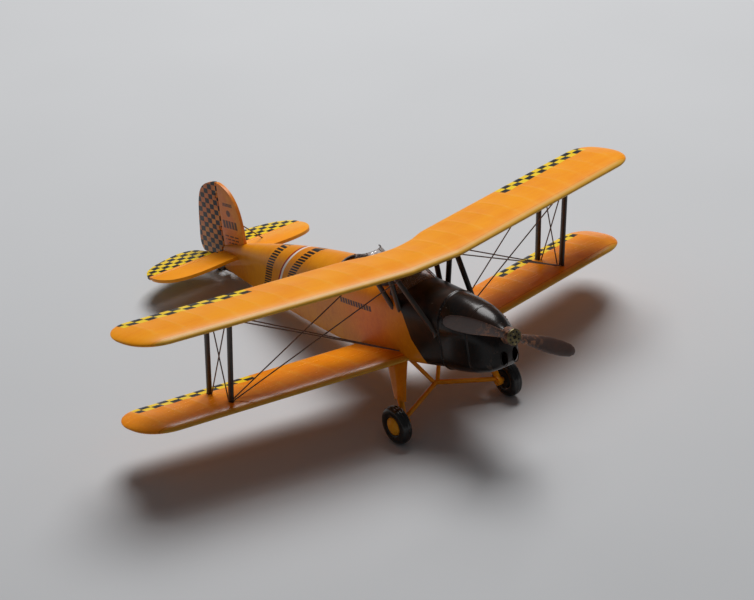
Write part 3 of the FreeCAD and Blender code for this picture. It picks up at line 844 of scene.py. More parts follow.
@dataclass(frozen=True)
class FinMarks:
    """Plain dark bars that stand where such a fin carries its data lines."""

    # height, half height, first and last place along the fin, pitch of the dashes
    rows: tuple[tuple[float, float, float, float, float], ...] = (
        (17.7, 0.13, 62.4, 65.2, 1.1), (18.35, 0.13, 61.7, 66.0, 1.3), (19.0, 0.13, 61.6, 66.0, 1.6),
        (21.3, 0.75, 61.4, 66.0, 0.95),
        (25.15, 0.32, 61.9, 65.0, 0.48))

    def __call__(self, sheet: Dresser, colour: object) -> object:
        """Lays the bars over a colour."""
        for height, half, first, last, pitch in self.rows:
            dashes = ((sheet.y - first) / pitch).fraction().below(0.78)
            bar = (sheet.z - height).absolute().below(half) * sheet.y.between(first, last) * dashes
            colour = sheet.mix(bar * 0.9, colour, (0.03, 0.02, 0.018))
        disc = ((sheet.y - 63.6) ** 2.0 + (sheet.z - 23.5) ** 2.0).below(0.4)
        return sheet.mix(disc * 0.85, colour, (0.03, 0.02, 0.018))


@dataclass(frozen=True)
class InnerBlack:
    """Black paint on the side of a wheel that faces the aircraft."""

    edge_x: float

    def __call__(self, sheet: Dresser, colour: object) -> object:
        """Lays the black over a colour."""
        return sheet.mix(sheet.x.absolute().below(self.edge_x), colour, BLACK_MARK)


@dataclass(frozen=True)
class Ladder:
    """A band of short bars round the rear body, leaning forward towards the top."""

    y: float
    z: float
    lean: float
    half_width: float = 1.2
    pitch: float = 0.52


@dataclass(frozen=True)
class FuselageMarks:
    """Black foredeck, ladder bands, a red and white stripe, and a plain dashed line on the side."""

    ladders: tuple[Ladder, ...] = (Ladder(47.6, 17.5, 0.6), Ladder(37.6, 19.4, 0.9))
    stripe: Ladder = Ladder(42.0, 18.7, 0.8)
    # the foredeck's edge leads aft as it rises: from a height, over a rise, by a run
    foredeck_start: float = 1.1
    foredeck_steps: tuple[tuple[float, ...], ...] = ((9.3, 3.4, 2.6), (12.7, 4.2, 1.2), (16.9, 4.6, 3.9))
    line_start: float = 13.7
    line_end: float = 23.3

    def __call__(self, sheet: Dresser, colour: object) -> object:
        """Lays the marks over a colour."""
        for band in self.ladders:
            off = (sheet.y - band.y) + (sheet.z - band.z) * band.lean
            around = (sheet.z - sheet.x.absolute() * 0.35 - 11.0) / band.pitch
            bars = around.fraction().below(0.66) * off.absolute().below(band.half_width)
            bars = bars * sheet.z.above(12.6)
            colour = sheet.mix(bars, colour, BLACK_MARK)
        off = (sheet.y - self.stripe.y) + (sheet.z - self.stripe.z) * self.stripe.lean
        seen = sheet.z.above(12.9)
        colour = sheet.mix(off.between(0.0, 0.5) * seen, colour, (0.36, 0.008, 0.008))
        colour = sheet.mix(off.between(-0.62, 0.0) * seen, colour, (0.78, 0.70, 0.62))
        dashes = ((sheet.y - self.line_start) / 0.8).fraction().below(0.78)
        along = sheet.y.between(self.line_start, self.line_end)
        line = (sheet.z - 16.2).absolute().below(0.5) * along * dashes
        colour = sheet.mix(line * 0.95, colour, (0.03, 0.012, 0.008))
        wet = sheet.noise(0.42, 3.0, 0.55, warp=1.4).eased(0.5, 0.57) * sheet.y.eased(16.0, 9.0)
        colour = sheet.mix(wet * sheet.z.eased(17.0, 12.0) * 0.6, colour, (0.74, 0.24, 0.002))
        bound = (sheet.noise(1.5) - 0.5) * 0.12 + self.foredeck_start
        for low, rise, run in self.foredeck_steps:
            bound = bound + ((sheet.z - low) / rise).clamped() * run
        foredeck = (bound - sheet.y).above(0.0)
        brown = sheet.mix(sheet.noise(0.5).eased(0.4, 0.65), (0.0075, 0.0055, 0.0045), (0.022, 0.009, 0.005))
        return sheet.mix(foredeck, colour, brown)


# ---- mesh work ----
Loop = list[Vector]


def spread(values: Sequence[tuple[float, ...]], at: float) -> list[float]:
    """Smooth curve through stations.

    Args:
        values: stations, each with its place first, in rising order.
        at: the place asked for.

    Returns:
        The other numbers at that place.
    """
    table = np.array(values, float)
    places = table[:, 0]
    slopes = np.gradient(table[:, 1:], places, axis=0)
    index = int(np.clip(np.searchsorted(places, at) - 1, 0, len(places) - 2))
    gap = places[index + 1] - places[index]
    t = float(np.clip((at - places[index]) / gap, 0.0, 1.0))
    first = (1 + 2 * t) * (1 - t) ** 2 * table[index, 1:]
    leave = t * (1 - t) ** 2 * gap * slopes[index]
    second = t * t * (3 - 2 * t) * table[index + 1, 1:]
    arrive = t * t * (t - 1) * gap * slopes[index + 1]
    return list(first + leave + second + arrive)


@dataclass
class Mesh:
    """Points and faces in level millimetres."""

    points: list[Vector] = field(default_factory=list)
    faces: list[tuple[int, ...]] = field(default_factory=list)

    def skin(self, loops: Sequence[Loop], close_ends: bool = True, closed_loops: bool = True) -> "Mesh":
        """Joins loops of equal length into a skin.

        Args:
            loops: the loops, one after another.
            close_ends: whether the first and last loops are filled.
            closed_loops: whether each loop meets its own start.

        Returns:
            This mesh.
        """
        start = len(self.points)
        size = len(loops[0])
        for loop in loops:
            self.points.extend(loop)
        steps = size if closed_loops else size - 1
        for row in range(len(loops) - 1):
            for step in range(steps):
                a = start + row * size + step
                b = start + row * size + (step + 1) % size
                self.faces.append((a, b, b + size, a + size))
        if close_ends:
            self.faces.append(tuple(range(start, start + size))[::-1])
            last = start + (len(loops) - 1) * size
            self.faces.append(tuple(range(last, last + size)))
        return self

    def revolved(self, profile: Sequence[tuple[float, float]], centre: Vector, axis: Vector,
                 steps: int = 64) -> "Mesh":
        """Turns a profile round an axis.

        Args:
            profile: pairs of distance along the axis and radius.
            centre: the middle of the axis.
            axis: its direction.
            steps: parts of a full turn.

        Returns:
            This mesh.
        """
        direction = axis.normalized()
        side = direction.orthogonal().normalized()
        other = direction.cross(side)
        return self.skin([ellipse_loop(centre + direction * along, side * radius, other * radius, steps)
                          for along, radius in profile])

    def data(self, name: str, transform: Matrix, merge: float = 0.0) -> bpy.types.Mesh:
        """Turns the points and faces into mesh data.

        Args:
            name: the mesh's name.
            transform: applied to every point.
            merge: distance below which points are joined, in millimetres.

        Returns:
            The mesh data, faces outward.
        """
        mesh = bpy.data.meshes.new(name)
        mesh.from_pydata([transform @ point for point in self.points], [], self.faces)
        return mended(mesh, merge)


def mended(mesh: bpy.types.Mesh, merge: float = 0.0, fill: bool = False) -> bpy.types.Mesh:
    """Turns faces outward, after joining doubles and filling holes where asked.

    Args:
        mesh: the mesh to mend.
        merge: distance below which points are joined, in millimetres of a mesh in metres.
        fill: whether open borders are closed.

    Returns:
        The same mesh.
    """
    work = bmesh.new()
    work.from_mesh(mesh)
    if merge:
        bmesh.ops.remove_doubles(work, verts=work.verts, dist=merge * METRE)
    border = [edge for edge in work.edges if edge.is_boundary]
    if fill and border:
        bmesh.ops.holes_fill(work, edges=border)
    bmesh.ops.recalc_face_normals(work, faces=work.faces)
    work.to_mesh(mesh)
    work.free()
    return mesh


def ellipse_loop(centre: Vector, first: Vector, second: Vector, steps: int = 24) -> Loop:
    """Closed ellipse.

    Args:
        centre: its middle.
        first: one half axis.
        second: the other half axis.
        steps: number of points.

    Returns:
        The points.
    """
    angles = [2 * math.pi * step / steps for step in range(steps)]
    return [centre + first * math.cos(turn) + second * math.sin(turn) for turn in angles]


def added(name: str, data: bpy.types.ID) -> bpy.types.Object:
    """Puts a new object into the scene.

    Args:
        name: the object's name.
        data: its mesh, camera or light.

    Returns:
        The object.
    """
    made = bpy.data.objects.new(name, data)
    bpy.context.scene.collection.objects.link(made)
    return made


def evaluated(holder: bpy.types.Object) -> bpy.types.Mesh:
    """The mesh of an object after its modifiers."""
    graph = bpy.context.evaluated_depsgraph_get()
    return bpy.data.meshes.new_from_object(holder.evaluated_get(graph), depsgraph=graph)


# ---- geometry node trees ----
class Maker(Writer):
    """A Geometry Nodes tree with named inputs, used through a modifier that is applied at once."""

    def __init__(self, name: str, inputs: Iterable[tuple[str, str, object]]) -> None:
        """Opens a tree.

        Args:
            name: the tree's name.
            inputs: name, socket kind and default of each input.
        """
        self.tree = bpy.data.node_groups.new(name, "GeometryNodeTree")
        face = self.tree.interface
        face.new_socket("Geometry", in_out="INPUT", socket_type="NodeSocketGeometry")
        face.new_socket("Geometry", in_out="OUTPUT", socket_type="NodeSocketGeometry")
        for label, kind, default in inputs:
            socket = face.new_socket(label, in_out="INPUT", socket_type=f"NodeSocket{kind}")
            if default is not None:
                socket.default_value = default
        face.new_socket("Finish", in_out="INPUT", socket_type="NodeSocketMaterial")
        self.entering = self.node("NodeGroupInput")

    def value(self, name: str) -> Field:
        """The tree's input of that name."""
        return Field(self.tree, self.entering.outputs[name])

    def grid(self, height: float) -> tuple[bpy.types.NodeSocket, Field, Field]:
        """Lays a unit grid with the tree's own counts of points along and across.

        Args:
            height: its size along Y.

        Returns:
            The grid, and the X and Y of its points.
        """
        grid = self.node("GeometryNodeMeshGrid", Size_X=1.0, Size_Y=height, Vertices_X=self.value("Along"),
                         Vertices_Y=self.value("Around"))
        x, y, _ = self.axes(self.node("GeometryNodeInputPosition").outputs[0])
        return grid.outputs[0], x, y

    def moulded(self, grid: bpy.types.NodeSocket, merge: float, **place: Field) -> "Maker":
        """Moves a grid's points, welds them and ends the tree.

        Args:
            grid: the grid.
            merge: distance below which points are joined.
            place: the new X, Y and Z.

        Returns:
            This maker.
        """
        new = self.node("ShaderNodeCombineXYZ", **place)
        moved = self.node("GeometryNodeSetPosition", Geometry=grid, Position=new.outputs[0])
        welded = self.node("GeometryNodeMergeByDistance", Geometry=moved.outputs[0], Distance=merge)
        return self.close(welded.outputs[0])

    def close(self, geometry: bpy.types.NodeSocket) -> "Maker":
        """Ends the tree in Realize Instances and Set Material.

        Args:
            geometry: what the tree has made.

        Returns:
            This maker.
        """
        real = self.node("GeometryNodeRealizeInstances", Geometry=geometry)
        dressed = self.node("GeometryNodeSetMaterial", Geometry=real.outputs[0],
                            Material=self.entering.outputs["Finish"])
        self.node("NodeGroupOutput", Geometry=dressed.outputs[0])
        return self

    def run(self, seed_mesh: bpy.types.Mesh, **values: object) -> bpy.types.Mesh:
        """Runs the tree on a mesh and keeps the plain result.

        Args:
            seed_mesh: the mesh that enters the tree.
            values: the tree's inputs, with underscores for spaces.

        Returns:
            The resulting mesh.
        """
        holder = added("holder", seed_mesh)
        modifier = holder.modifiers.new("maker", "NODES")
        modifier.node_group = self.tree
        known = {item.name: item.identifier for item in self.tree.interface.items_tree
                 if item.item_type == "SOCKET" and item.in_out == "INPUT"}
        for name, value in values.items():
            modifier[known[name.replace("_", " ")]] = value
        result = evaluated(holder)
        bpy.data.objects.remove(holder)
        return result


def path_mesh(lines: Sequence[Sequence[Vector]], closed: bool = False) -> bpy.types.Mesh:
    """Mesh of bare edges, in level millimetres.

    Args:
        lines: each a run of points.
        closed: whether each run meets its own start.

    Returns:
        The mesh.
    """
    points: list[Vector] = []
    edges: list[tuple[int, int]] = []
    for run in lines:
        first = len(points)
        points.extend(run)
        edges.extend((first + step, first + step + 1) for step in range(len(run) - 1))
        if closed:
            edges.append((len(points) - 1, first))
    mesh = bpy.data.meshes.new("path")
    mesh.from_pydata(points, edges, [])
    return mesh


def tube_maker() -> Maker:
    """Tree that turns edges into round tubes with closed ends."""
    maker = Maker("tubes_along_paths", (("Radius", "Float", 0.11), ("Sides", "Int", 12)))
    curve = maker.node("GeometryNodeMeshToCurve", Mesh=maker.entering.outputs["Geometry"])
    ring = maker.node("GeometryNodeCurvePrimitiveCircle", Resolution=maker.value("Sides"),
                      Radius=maker.value("Radius"))
    tube = maker.node("GeometryNodeCurveToMesh", Curve=curve.outputs[0], Profile_Curve=ring.outputs[0],
                      Fill_Caps=True)
    return maker.close(tube.outputs[0])


def stud_maker() -> Maker:
    """Tree that sets a domed stud on the first corner of each triangle of a mesh, along its normal."""
    inputs = (("Radius", "Float", 0.15), ("Length", "Float", 0.2), ("Sides", "Int", 16))
    maker = Maker("studs_on_points", inputs)
    sides = maker.value("Sides")
    radius = maker.value("Radius")
    shank = maker.node("GeometryNodeMeshCylinder", Vertices=sides, Radius=radius, Depth=maker.value("Length"))
    dome = maker.node("GeometryNodeMeshUVSphere", Segments=sides, Rings=8, Radius=radius * 0.96)
    lift = maker.node("ShaderNodeCombineXYZ", Z=maker.value("Length") * 0.5)
    flat = maker.node("GeometryNodeTransform", Geometry=dome.outputs[0], Scale=(1.0, 1.0, 0.45),
                      Translation=lift.outputs[0])
    both = maker.node("GeometryNodeJoinGeometry")
    maker.tree.links.new(shank.outputs[0], both.inputs[0])
    maker.tree.links.new(flat.outputs[0], both.inputs[0])
    index = Field(maker.tree, maker.node("GeometryNodeInputIndex").outputs[0])
    normal = maker.node("GeometryNodeInputNormal").outputs[0]
    facing = maker.node("FunctionNodeAlignRotationToVector", Vector=normal)
    facing.axis = "Z"
    placed = maker.node("GeometryNodeInstanceOnPoints", Points=maker.entering.outputs["Geometry"],
                        Instance=both.outputs[0], Selection=(index / 3.0).fraction().below(0.1),
                        Rotation=facing.outputs[0])
    return maker.close(placed.outputs[0])


RIB_PITCH = 4.3


def wing_maker() -> Maker:
    """Tree that lays a grid round a swept, cambered and ribbed wing with rounded tips."""
    names = (("Start", 0.0), ("Root X", 5.0), ("Root Y", 0.0), ("Root Z", 0.0), ("Half Span", 51.0),
             ("Chord", 14.0), ("Sweep", 0.19), ("Dihedral", 0.03), ("Rise", 0.018), ("Thickness", 0.125),
             ("Camber", 0.012), ("Edge", 0.017), ("Tip Length", 5.2), ("Tip Centre", 0.55),
             ("Rib Pitch", RIB_PITCH), ("Sag", 0.05), ("Rib Height", 0.03), ("Notch Half", 0.0),
             ("Notch Depth", 0.0), ("Mirror", 0.0), ("Hand", 1.0))
    inputs = [(name, "Float", default) for name, default in names]
    inputs += [("Along", "Int", 420), ("Around", "Int", 81)]
    maker = Maker("ribbed_wing", inputs)
    get = maker.value
    grid, spanwise, around = maker.grid(2.08)

    signed = (spanwise + 0.5) * (get("Mirror") + 1.0) - get("Mirror")
    reach = signed.absolute()
    straight = 0.88
    tip = ((reach - straight) / (1.0 - straight)).clamped()
    quarter = tip * (math.pi / 2)
    kept = quarter.cosine().most(0.0)
    inner = (reach / straight).least(1.0) * (get("Half Span") - get("Tip Length") - get("Start"))
    span = get("Start") + inner + get("Tip Length") * quarter.sine()
    hand = signed.sign() * get("Hand")

    run = (span - get("Root X")).most(0.0)
    kept_front = kept ** 0.68
    ahead = get("Tip Centre") * get("Chord")
    lead_y = get("Root Y") + run * get("Sweep") + ahead * (1.0 - kept_front)
    lead_z = get("Root Z") + run * get("Dihedral")
    notch = (1.0 - (span / get("Notch Half").most(0.01)) ** 2.0).most(0.0) ** 2.0 * get("Notch Depth")
    chord = ahead * kept_front + (get("Chord") - ahead) * kept
    thick = get("Thickness") * (kept * 0.45 + 0.55)

    turn = around.absolute().least(1.0) * (math.pi / 2)
    s = (1.0 - turn.cosine()).clamped()
    closing = ((1.04 - around.absolute()) / 0.04).clamped()
    # the usual thickness curve of a four-digit wing section
    curve = s.root() * 0.2969 - s * 0.1260 - s ** 2.0 * 0.3516 + s ** 3.0 * 0.2843 - s ** 4.0 * 0.1036
    half = thick * 5.0 * curve
    half = (half * (1.0 - s * 0.28) + s * get("Edge") * 0.5) * closing
    crest = s.below(0.4) * -0.2 + 0.6
    bend = (s - 0.4) / crest
    camber = get("Camber") * (1.0 - bend * bend)

    from_rib = ((span / get("Rib Pitch") + 0.5).fraction() - 0.5).absolute()
    window = s.eased(0.12, 0.34) * s.eased(0.99, 0.8) * tip.eased(0.7, 0.1)
    sag = from_rib.eased(0.0, 0.5) * get("Sag") - from_rib.eased(0.075, 0.045) * get("Rib Height")
    up = around.sign()
    skin_z = chord * (camber + s * get("Rise") + half * up) - sag * window * up
    return maker.moulded(grid, 0.0005, X=span * hand, Y=lead_y + s * (chord - notch), Z=lead_z + skin_z)


def tyre_maker() -> Maker:
    """Tree that sweeps a rounded tyre profile round a wheel in the YZ plane."""
    maker = Maker("tyre_ring", (("Radius", "Float", 3.3), ("Rim", "Float", 1.62), ("Width", "Float", 2.2),
                                ("Groove", "Float", 0.05), ("Along", "Int", 96), ("Around", "Int", 48)))
    get = maker.value
    grid, along, around = maker.grid(1.0)
    turn = along * (2 * math.pi)
    section = around * (2 * math.pi)
    middle = (get("Radius") + get("Rim")) * 0.5
    depth = (get("Radius") - get("Rim")) * 0.5
    sine = section.sine()
    cosine = section.cosine()
    outward = cosine.sign() * cosine.absolute() ** 0.8
    lines = ((sine * 2.5).fraction() - 0.5).absolute().eased(0.12, 0.02)
    groove = lines * cosine.above(0.1) * get("Groove")
    radius = middle + depth * outward - groove
    across = sine.sign() * sine.absolute() ** 0.72 * get("Width") * 0.5
    return maker.moulded(grid, 0.001, X=across, Y=radius * turn.cosine(), Z=radius * turn.sine())


# ---- the workshop ----
class Workshop:
    """Holds the level frame and the finishes, and puts pieces into the scene."""

    def __init__(self, frame: dict) -> None:
        """Reads the level frame and opens the geometry trees.

        Args:
            frame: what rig.load() gave.
        """
        self.nodes = frame["nodes"]
        self.level = LevelFrame.from_record(frame["record"])
        self.finishes: dict[str, bpy.types.Material] = {}
        self.tubes = tube_maker()
        self.studs = stud_maker()

    def finish(self, recipe: object) -> bpy.types.Material:
        """Builds a finish once.

        Args:
            recipe: one of the finish dataclasses.

        Returns:
            Its material.
        """
        if recipe.name not in self.finishes:
            self.finishes[recipe.name] = recipe.build(Dresser(recipe.name, self.level))
        return self.finishes[recipe.name]

    def place(self, name: str, mesh: bpy.types.Mesh, recipe: object, slot: Slot,
              replaces: Sequence[str] = (), angle: float = 35.0, body: Body = Body.AIRFRAME) -> None:
        """Puts a finished mesh, already in the frame, into the scene.

        Args:
            name: the piece's name.
            mesh: its mesh in frame metres.
            recipe: its finish.
            slot: its material slot.
            replaces: the CAD nodes that it stands for.
            angle: faces that meet at more degrees keep a sharp edge.
            body: the body it rides on.
        """
        mesh.name = name
        mesh.materials.clear()
        mesh.materials.append(self.finish(recipe))
        mesh.shade_smooth()
        mesh.set_sharp_from_angle(angle=math.radians(angle))
        piece = added(name, mesh)
        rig.ride(piece, body.value)
        if replaces:
            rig.replaces(piece, *replaces)
        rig.slot(piece, slot.value)
        LOG.info("%s: %d faces, finish %s", name, len(mesh.polygons), recipe.name)

    def level_mesh(self, mesh: bpy.types.Mesh) -> bpy.types.Mesh:
        """Carries a mesh from level millimetres to the frame."""
        mesh.transform(self.level.matrix)
        return mesh

    def tube(self, lines: Sequence[Sequence[Vector]], radius: float, closed: bool = False,
             sides: int = 12) -> bpy.types.Mesh:
        """Tubes along runs of points.

        Args:
            lines: runs in level millimetres.
            radius: the tubes' radius.
            closed: whether each run is a ring.
            sides: sides of a tube.

        Returns:
            Their mesh in the frame.
        """
        return self.level_mesh(self.tubes.run(path_mesh(lines, closed), Radius=radius, Sides=sides))

    def softened(self, node: str, bevel: float, flat_angle: float = 2.0) -> bpy.types.Mesh:
        """Copy of a CAD node with its doubles merged and its hard edges rounded.

        Args:
            node: the CAD node.
            bevel: radius of the rounding in millimetres, or 0 for none.
            flat_angle: triangles that meet at fewer degrees become one face.

        Returns:
            The new mesh in the frame.
        """
        mesh = self.nodes[node].data.copy()
        work = bmesh.new()
        work.from_mesh(mesh)
        bmesh.ops.remove_doubles(work, verts=work.verts, dist=1e-6)
        if bevel:
            bmesh.ops.dissolve_limit(work, angle_limit=math.radians(flat_angle), verts=work.verts,
                                     edges=work.edges)
            hard = [edge for edge in work.edges if edge.is_manifold and edge.calc_face_angle(0.0) > 0.7]
            bmesh.ops.bevel(work, geom=hard, offset=bevel * METRE, segments=3, profile=0.5, affect="EDGES",
                            clamp_overlap=True)
        work.to_mesh(mesh)
        work.free()
        return mesh

    def dress_copy(self, node: str, recipe: object, slot: Slot, bevel: float = 0.0, angle: float = 35.0,
                   back: float = 0.0, body: Body = Body.AIRFRAME) -> None:
        """Stands a softened copy in for a CAD node.

        Args:
            node: the CAD node.
            recipe: the copy's finish.
            slot: its material slot.
            bevel: radius of the rounding in millimetres.
            angle: faces that meet at more degrees keep a sharp edge.
            back: how far the copy stands further aft, in millimetres.
            body: the body it rides on.
        """
        mesh = self.softened(node, bevel)
        aft = self.level.matrix.to_3x3() @ Vector((0, back, 0))
        mesh.transform(Matrix.Translation(aft))
        self.place(f"{node}_dressed", mesh, recipe, slot, (node,), angle, body)


# ---- wings and rigging ----
@dataclass
class WingShape:
    """Plan and section of one wing."""

    root: Vector
    half_span: float
    chord: float
    dihedral: float
    start: float
    sweep: float = 0.192
    rise: float = 0.018
    droop: float = 0.3

    def chord_point(self, x: float, fraction: float) -> Vector:
        """A point on the chord line.

        Args:
            x: place along the span.
            fraction: part of the chord from the leading edge.

        Returns:
            The point.
        """
        run = x - self.root.x
        y = self.root.y + run * self.sweep + fraction * self.chord
        return Vector((x, y, self.root.z + run * self.dihedral + self.rise * self.chord * fraction))


UPPER = WingShape(Vector((5.0, 0.3, 25.06)), 51.6, 13.94, 0.028, 0.0)
LOWER = WingShape(Vector((5.2, 5.41, 9.0)), 50.8, 13.1, 0.022, 3.6)
TRAILING_EDGE = 0.24
STRUT_BLACK = DarkPaint("strut_black", (0.013, 0.010, 0.008), (0.075, 0.042, 0.026), 0.38)
WIRE_BROWN = DarkPaint("wire_brown", (0.050, 0.028, 0.018), (0.16, 0.10, 0.07), 0.45, relief=0.004)


def mirror_x(point: Vector, side: Side) -> Vector:
    """The point on the asked side."""
    return Vector((point.x * side.value, point.y, point.z))


@dataclass
class Wings:
    """Upper wing in one piece, lower wings left and right."""

    shop: Workshop
    notch_half: float = 8.6
    notch_depth: float = 1.85
    upper_checks: tuple[float, float] = (26.5, 48.5)
    lower_checks: tuple[float, float] = (26.3, 47.0)

    def build(self) -> None:
        """Builds and dresses the three panels."""
        maker = wing_maker()
        upper_marks = WingChecks(UPPER.root, UPPER.chord, UPPER.sweep, *self.upper_checks)
        lower_marks = WingChecks(LOWER.root, LOWER.chord, LOWER.sweep, *self.lower_checks, row=1.5, seam=0.6)
        upper_paint = OrangePaint("upper_wing_orange", marks=upper_marks)
        # painted shade: the lower wings take a darker, redder orange than the upper wing, standing in for the upper
        # wing's shade over them
        lower_shaded_paint = OrangePaint("lower_wing_orange", base=(0.88, 0.29, 0.004), deep=(0.76, 0.19, 0.003),
                                  marks=lower_marks, roughness=0.2, gloss=0.34)
        mesh = self.panel(maker, UPPER, 1.0, 1.0, 640)
        self.shop.place("upper_wing_skin", mesh, upper_paint, Slot.WINGS, ("upper_wing",), 50.0)
        for side in Side:
            mesh = self.panel(maker, LOWER, 0.0, float(side.value), 330)
            self.shop.place(f"lower_wing_skin_{side.word}", mesh, lower_shaded_paint, Slot.WINGS,
                            (f"lower_wing_{side.word}",), 50.0)

    def panel(self, maker: Maker, shape: WingShape, mirror: float, hand: float, along: int) -> bpy.types.Mesh:
        """Runs the wing tree.

        Args:
            maker: the wing tree.
            shape: the wing's plan.
            mirror: 1 for a wing that spans both sides.
            hand: 1 to port, -1 to starboard.
            along: grid points along the span.

        Returns:
            The wing's mesh in the frame.
        """
        mesh = maker.run(bpy.data.meshes.new("seed"), Start=shape.start, Half_Span=shape.half_span,
                         Root_X=shape.root.x, Root_Y=shape.root.y, Root_Z=shape.root.z - shape.droop,
                         Chord=shape.chord, Sweep=shape.sweep, Dihedral=shape.dihedral,
                         Rise=shape.rise + shape.droop / shape.chord, Edge=TRAILING_EDGE / shape.chord,
                         Notch_Half=self.notch_half * mirror, Notch_Depth=self.notch_depth * mirror,
                         Mirror=mirror, Hand=hand, Along=along)
        return self.shop.level_mesh(mended(mesh, fill=True))


@dataclass
class Bracing:
    """Interplane struts, cabane struts and rigging wires."""

    shop: Workshop
    strut_x: float = 35.06
    front_spar: float = 0.222
    rear_spar: float = 0.726
    chord: float = 1.2
    thickness: float = 0.74
    front_foot: Vector = field(default_factory=lambda: Vector((4.5, -2.9, 14.3)))
    diagonal_foot: Vector = field(default_factory=lambda: Vector((4.7, 6.0, 15.8)))
    rear_foot: Vector = field(default_factory=lambda: Vector((4.7, 7.0, 15.8)))
    front_top_x: float = 6.6
    rear_top_x: float = 6.9
    wire_root: Vector = field(default_factory=lambda: Vector((5.5, 7.5, 9.95)))
    wire_radius: float = 0.11
    wire_lift: float = 0.72

    def build(self) -> None:
        """Builds and dresses the bracing of both sides."""
        for side in Side:
            self.struts(side)
            self.wires(side)

    def faired(self, start: Vector, end: Vector, chord: float, thickness: float) -> Mesh:
        """Strut of oval section that widens a little at both feet.

        Args:
            start: its lower end.
            end: its upper end.
            chord: its size fore and aft.
            thickness: its size across.

        Returns:
            The strut.
        """
        along = (end - start).normalized()
        across = along.cross(Vector((0, 1, 0))).normalized()
        fore = across.cross(along).normalized()
        loops = []
        length = (end - start).length
        for part in (0.0, 0.01, 0.022, 0.036, 0.06, 0.1, 0.5, 0.9, 0.94, 0.964, 0.978, 0.99, 1.0):
            foot = max(0.0, 1.0 - min(part, 1.0 - part) * length / 0.8)
            swell = 1.0 + 0.55 * foot * foot
            middle = start + (end - start) * part
            loops.append(ellipse_loop(middle, across * thickness / 2 * swell, fore * chord / 2 * swell))
        return Mesh().skin(loops)

    def struts(self, side: Side) -> None:
        """Makes one side's struts."""
        lower = {name: LOWER.chord_point(self.strut_x, part) for name, part in self.spars}
        upper = {name: UPPER.chord_point(self.strut_x, part) for name, part in self.spars}
        runs = {f"interplane_{name}": (lower[name], upper[name]) for name in lower}
        front_top = UPPER.chord_point(self.front_top_x, self.front_spar) + Vector((0, 0.5, 0))
        runs["cabane_front"] = (self.front_foot, front_top)
        runs["cabane_diagonal"] = (self.diagonal_foot, front_top + Vector((0, 0.95, 0)))
        runs["cabane_rear"] = (self.rear_foot, UPPER.chord_point(self.rear_top_x, self.rear_spar))
        for name, (start, end) in runs.items():
            ends = mirror_x(start, side), mirror_x(end, side)
            mesh = self.faired(*ends, self.chord, self.thickness).data(name, self.shop.level.matrix)
            self.shop.place(f"{name}_strut_{side.word}", mesh, STRUT_BLACK, Slot.STRUTS,
                            (f"{name}_{side.word}",), 50.0)

    @property
    def spars(self) -> tuple[tuple[str, float], ...]:
        """Names of the spars and their chord fractions."""
        return (("front", self.front_spar), ("rear", self.rear_spar))

    def wires(self, side: Side) -> None:
        """Makes one side's wires."""
        x = self.strut_x
        front, rear = self.front_spar, self.rear_spar
        root = self.wire_root
        under = Vector((0, 0, -self.wire_lift))
        foot = LOWER.chord_point(x - 0.9, front) - under
        groups = {
            "flying_wires": (
                (root, UPPER.chord_point(x - 0.6, front) + under),
                (root + Vector((0.1, 1.0, 0)), UPPER.chord_point(x - 0.6, rear) + under)),
            "landing_wires": (
                (UPPER.chord_point(5.6, front) + Vector((0, -1.9, -0.75)), foot + Vector((0.6, -0.3, 0))),
                (UPPER.chord_point(6.6, rear) + Vector((0, -0.4, -0.85)), foot + Vector((0.2, 0.45, 0)))),
            "incidence_wires": (
                (UPPER.chord_point(x, front) + Vector((0.12, 0.8, -0.3)),
                 LOWER.chord_point(x, rear) + Vector((0.12, -0.7, 0))),
                (UPPER.chord_point(x, rear) + Vector((-0.12, -0.8, -0.3)),
                 LOWER.chord_point(x, front) + Vector((-0.12, 0.8, 0)))),
        }
        for name, pair in groups.items():
            lines = [[mirror_x(point, side) for point in run] for run in pair]
            mesh = self.shop.tube(lines, self.wire_radius)
            self.shop.place(f"{name}_drawn_{side.word}", mesh, WIRE_BROWN, Slot.WIRE,
                            (f"{name}_{side.word}",), 50.0)


# ---- body ----
FIREWALL_Y = -3.65
# place along the body, half width, bottom, top of the flat side, top of the deck, bottom corner radius
FUSELAGE_STATIONS = (
    (FIREWALL_Y, 4.6, 8.3, 15.3, 20.7, 2.2), (4.0, 5.25, 8.0, 16.4, 21.2, 1.5),
    (13.0, 5.55, 7.85, 17.2, 21.5, 1.0), (23.0, 5.25, 8.0, 17.4, 21.6, 0.8),
    (34.0, 4.45, 8.75, 17.2, 21.3, 0.6), (45.0, 3.4, 9.75, 16.8, 20.4, 0.5),
    (56.0, 2.15, 10.95, 16.2, 18.85, 0.4), (67.6, 0.8, 12.3, 15.6, 16.9, 0.3),
)
COWL_STATIONS = (
    (-15.7, 1.8, 10.8, 13.3, 16.4, 1.2), (-15.0, 2.45, 10.05, 13.5, 16.85, 1.6),
    (-13.6, 3.2, 9.3, 13.9, 17.9, 2.0), (-11.0, 4.0, 8.6, 14.4, 19.2, 2.5),
    (-7.5, 4.55, 8.1, 14.8, 20.1, 2.7), (FIREWALL_Y, 4.7, 7.9, 15.0, 20.6, 2.6),
)
RUDDER_HINGE = Vector((0.0, 67.6, 15.7))
RUDDER_LEAN = -0.0945


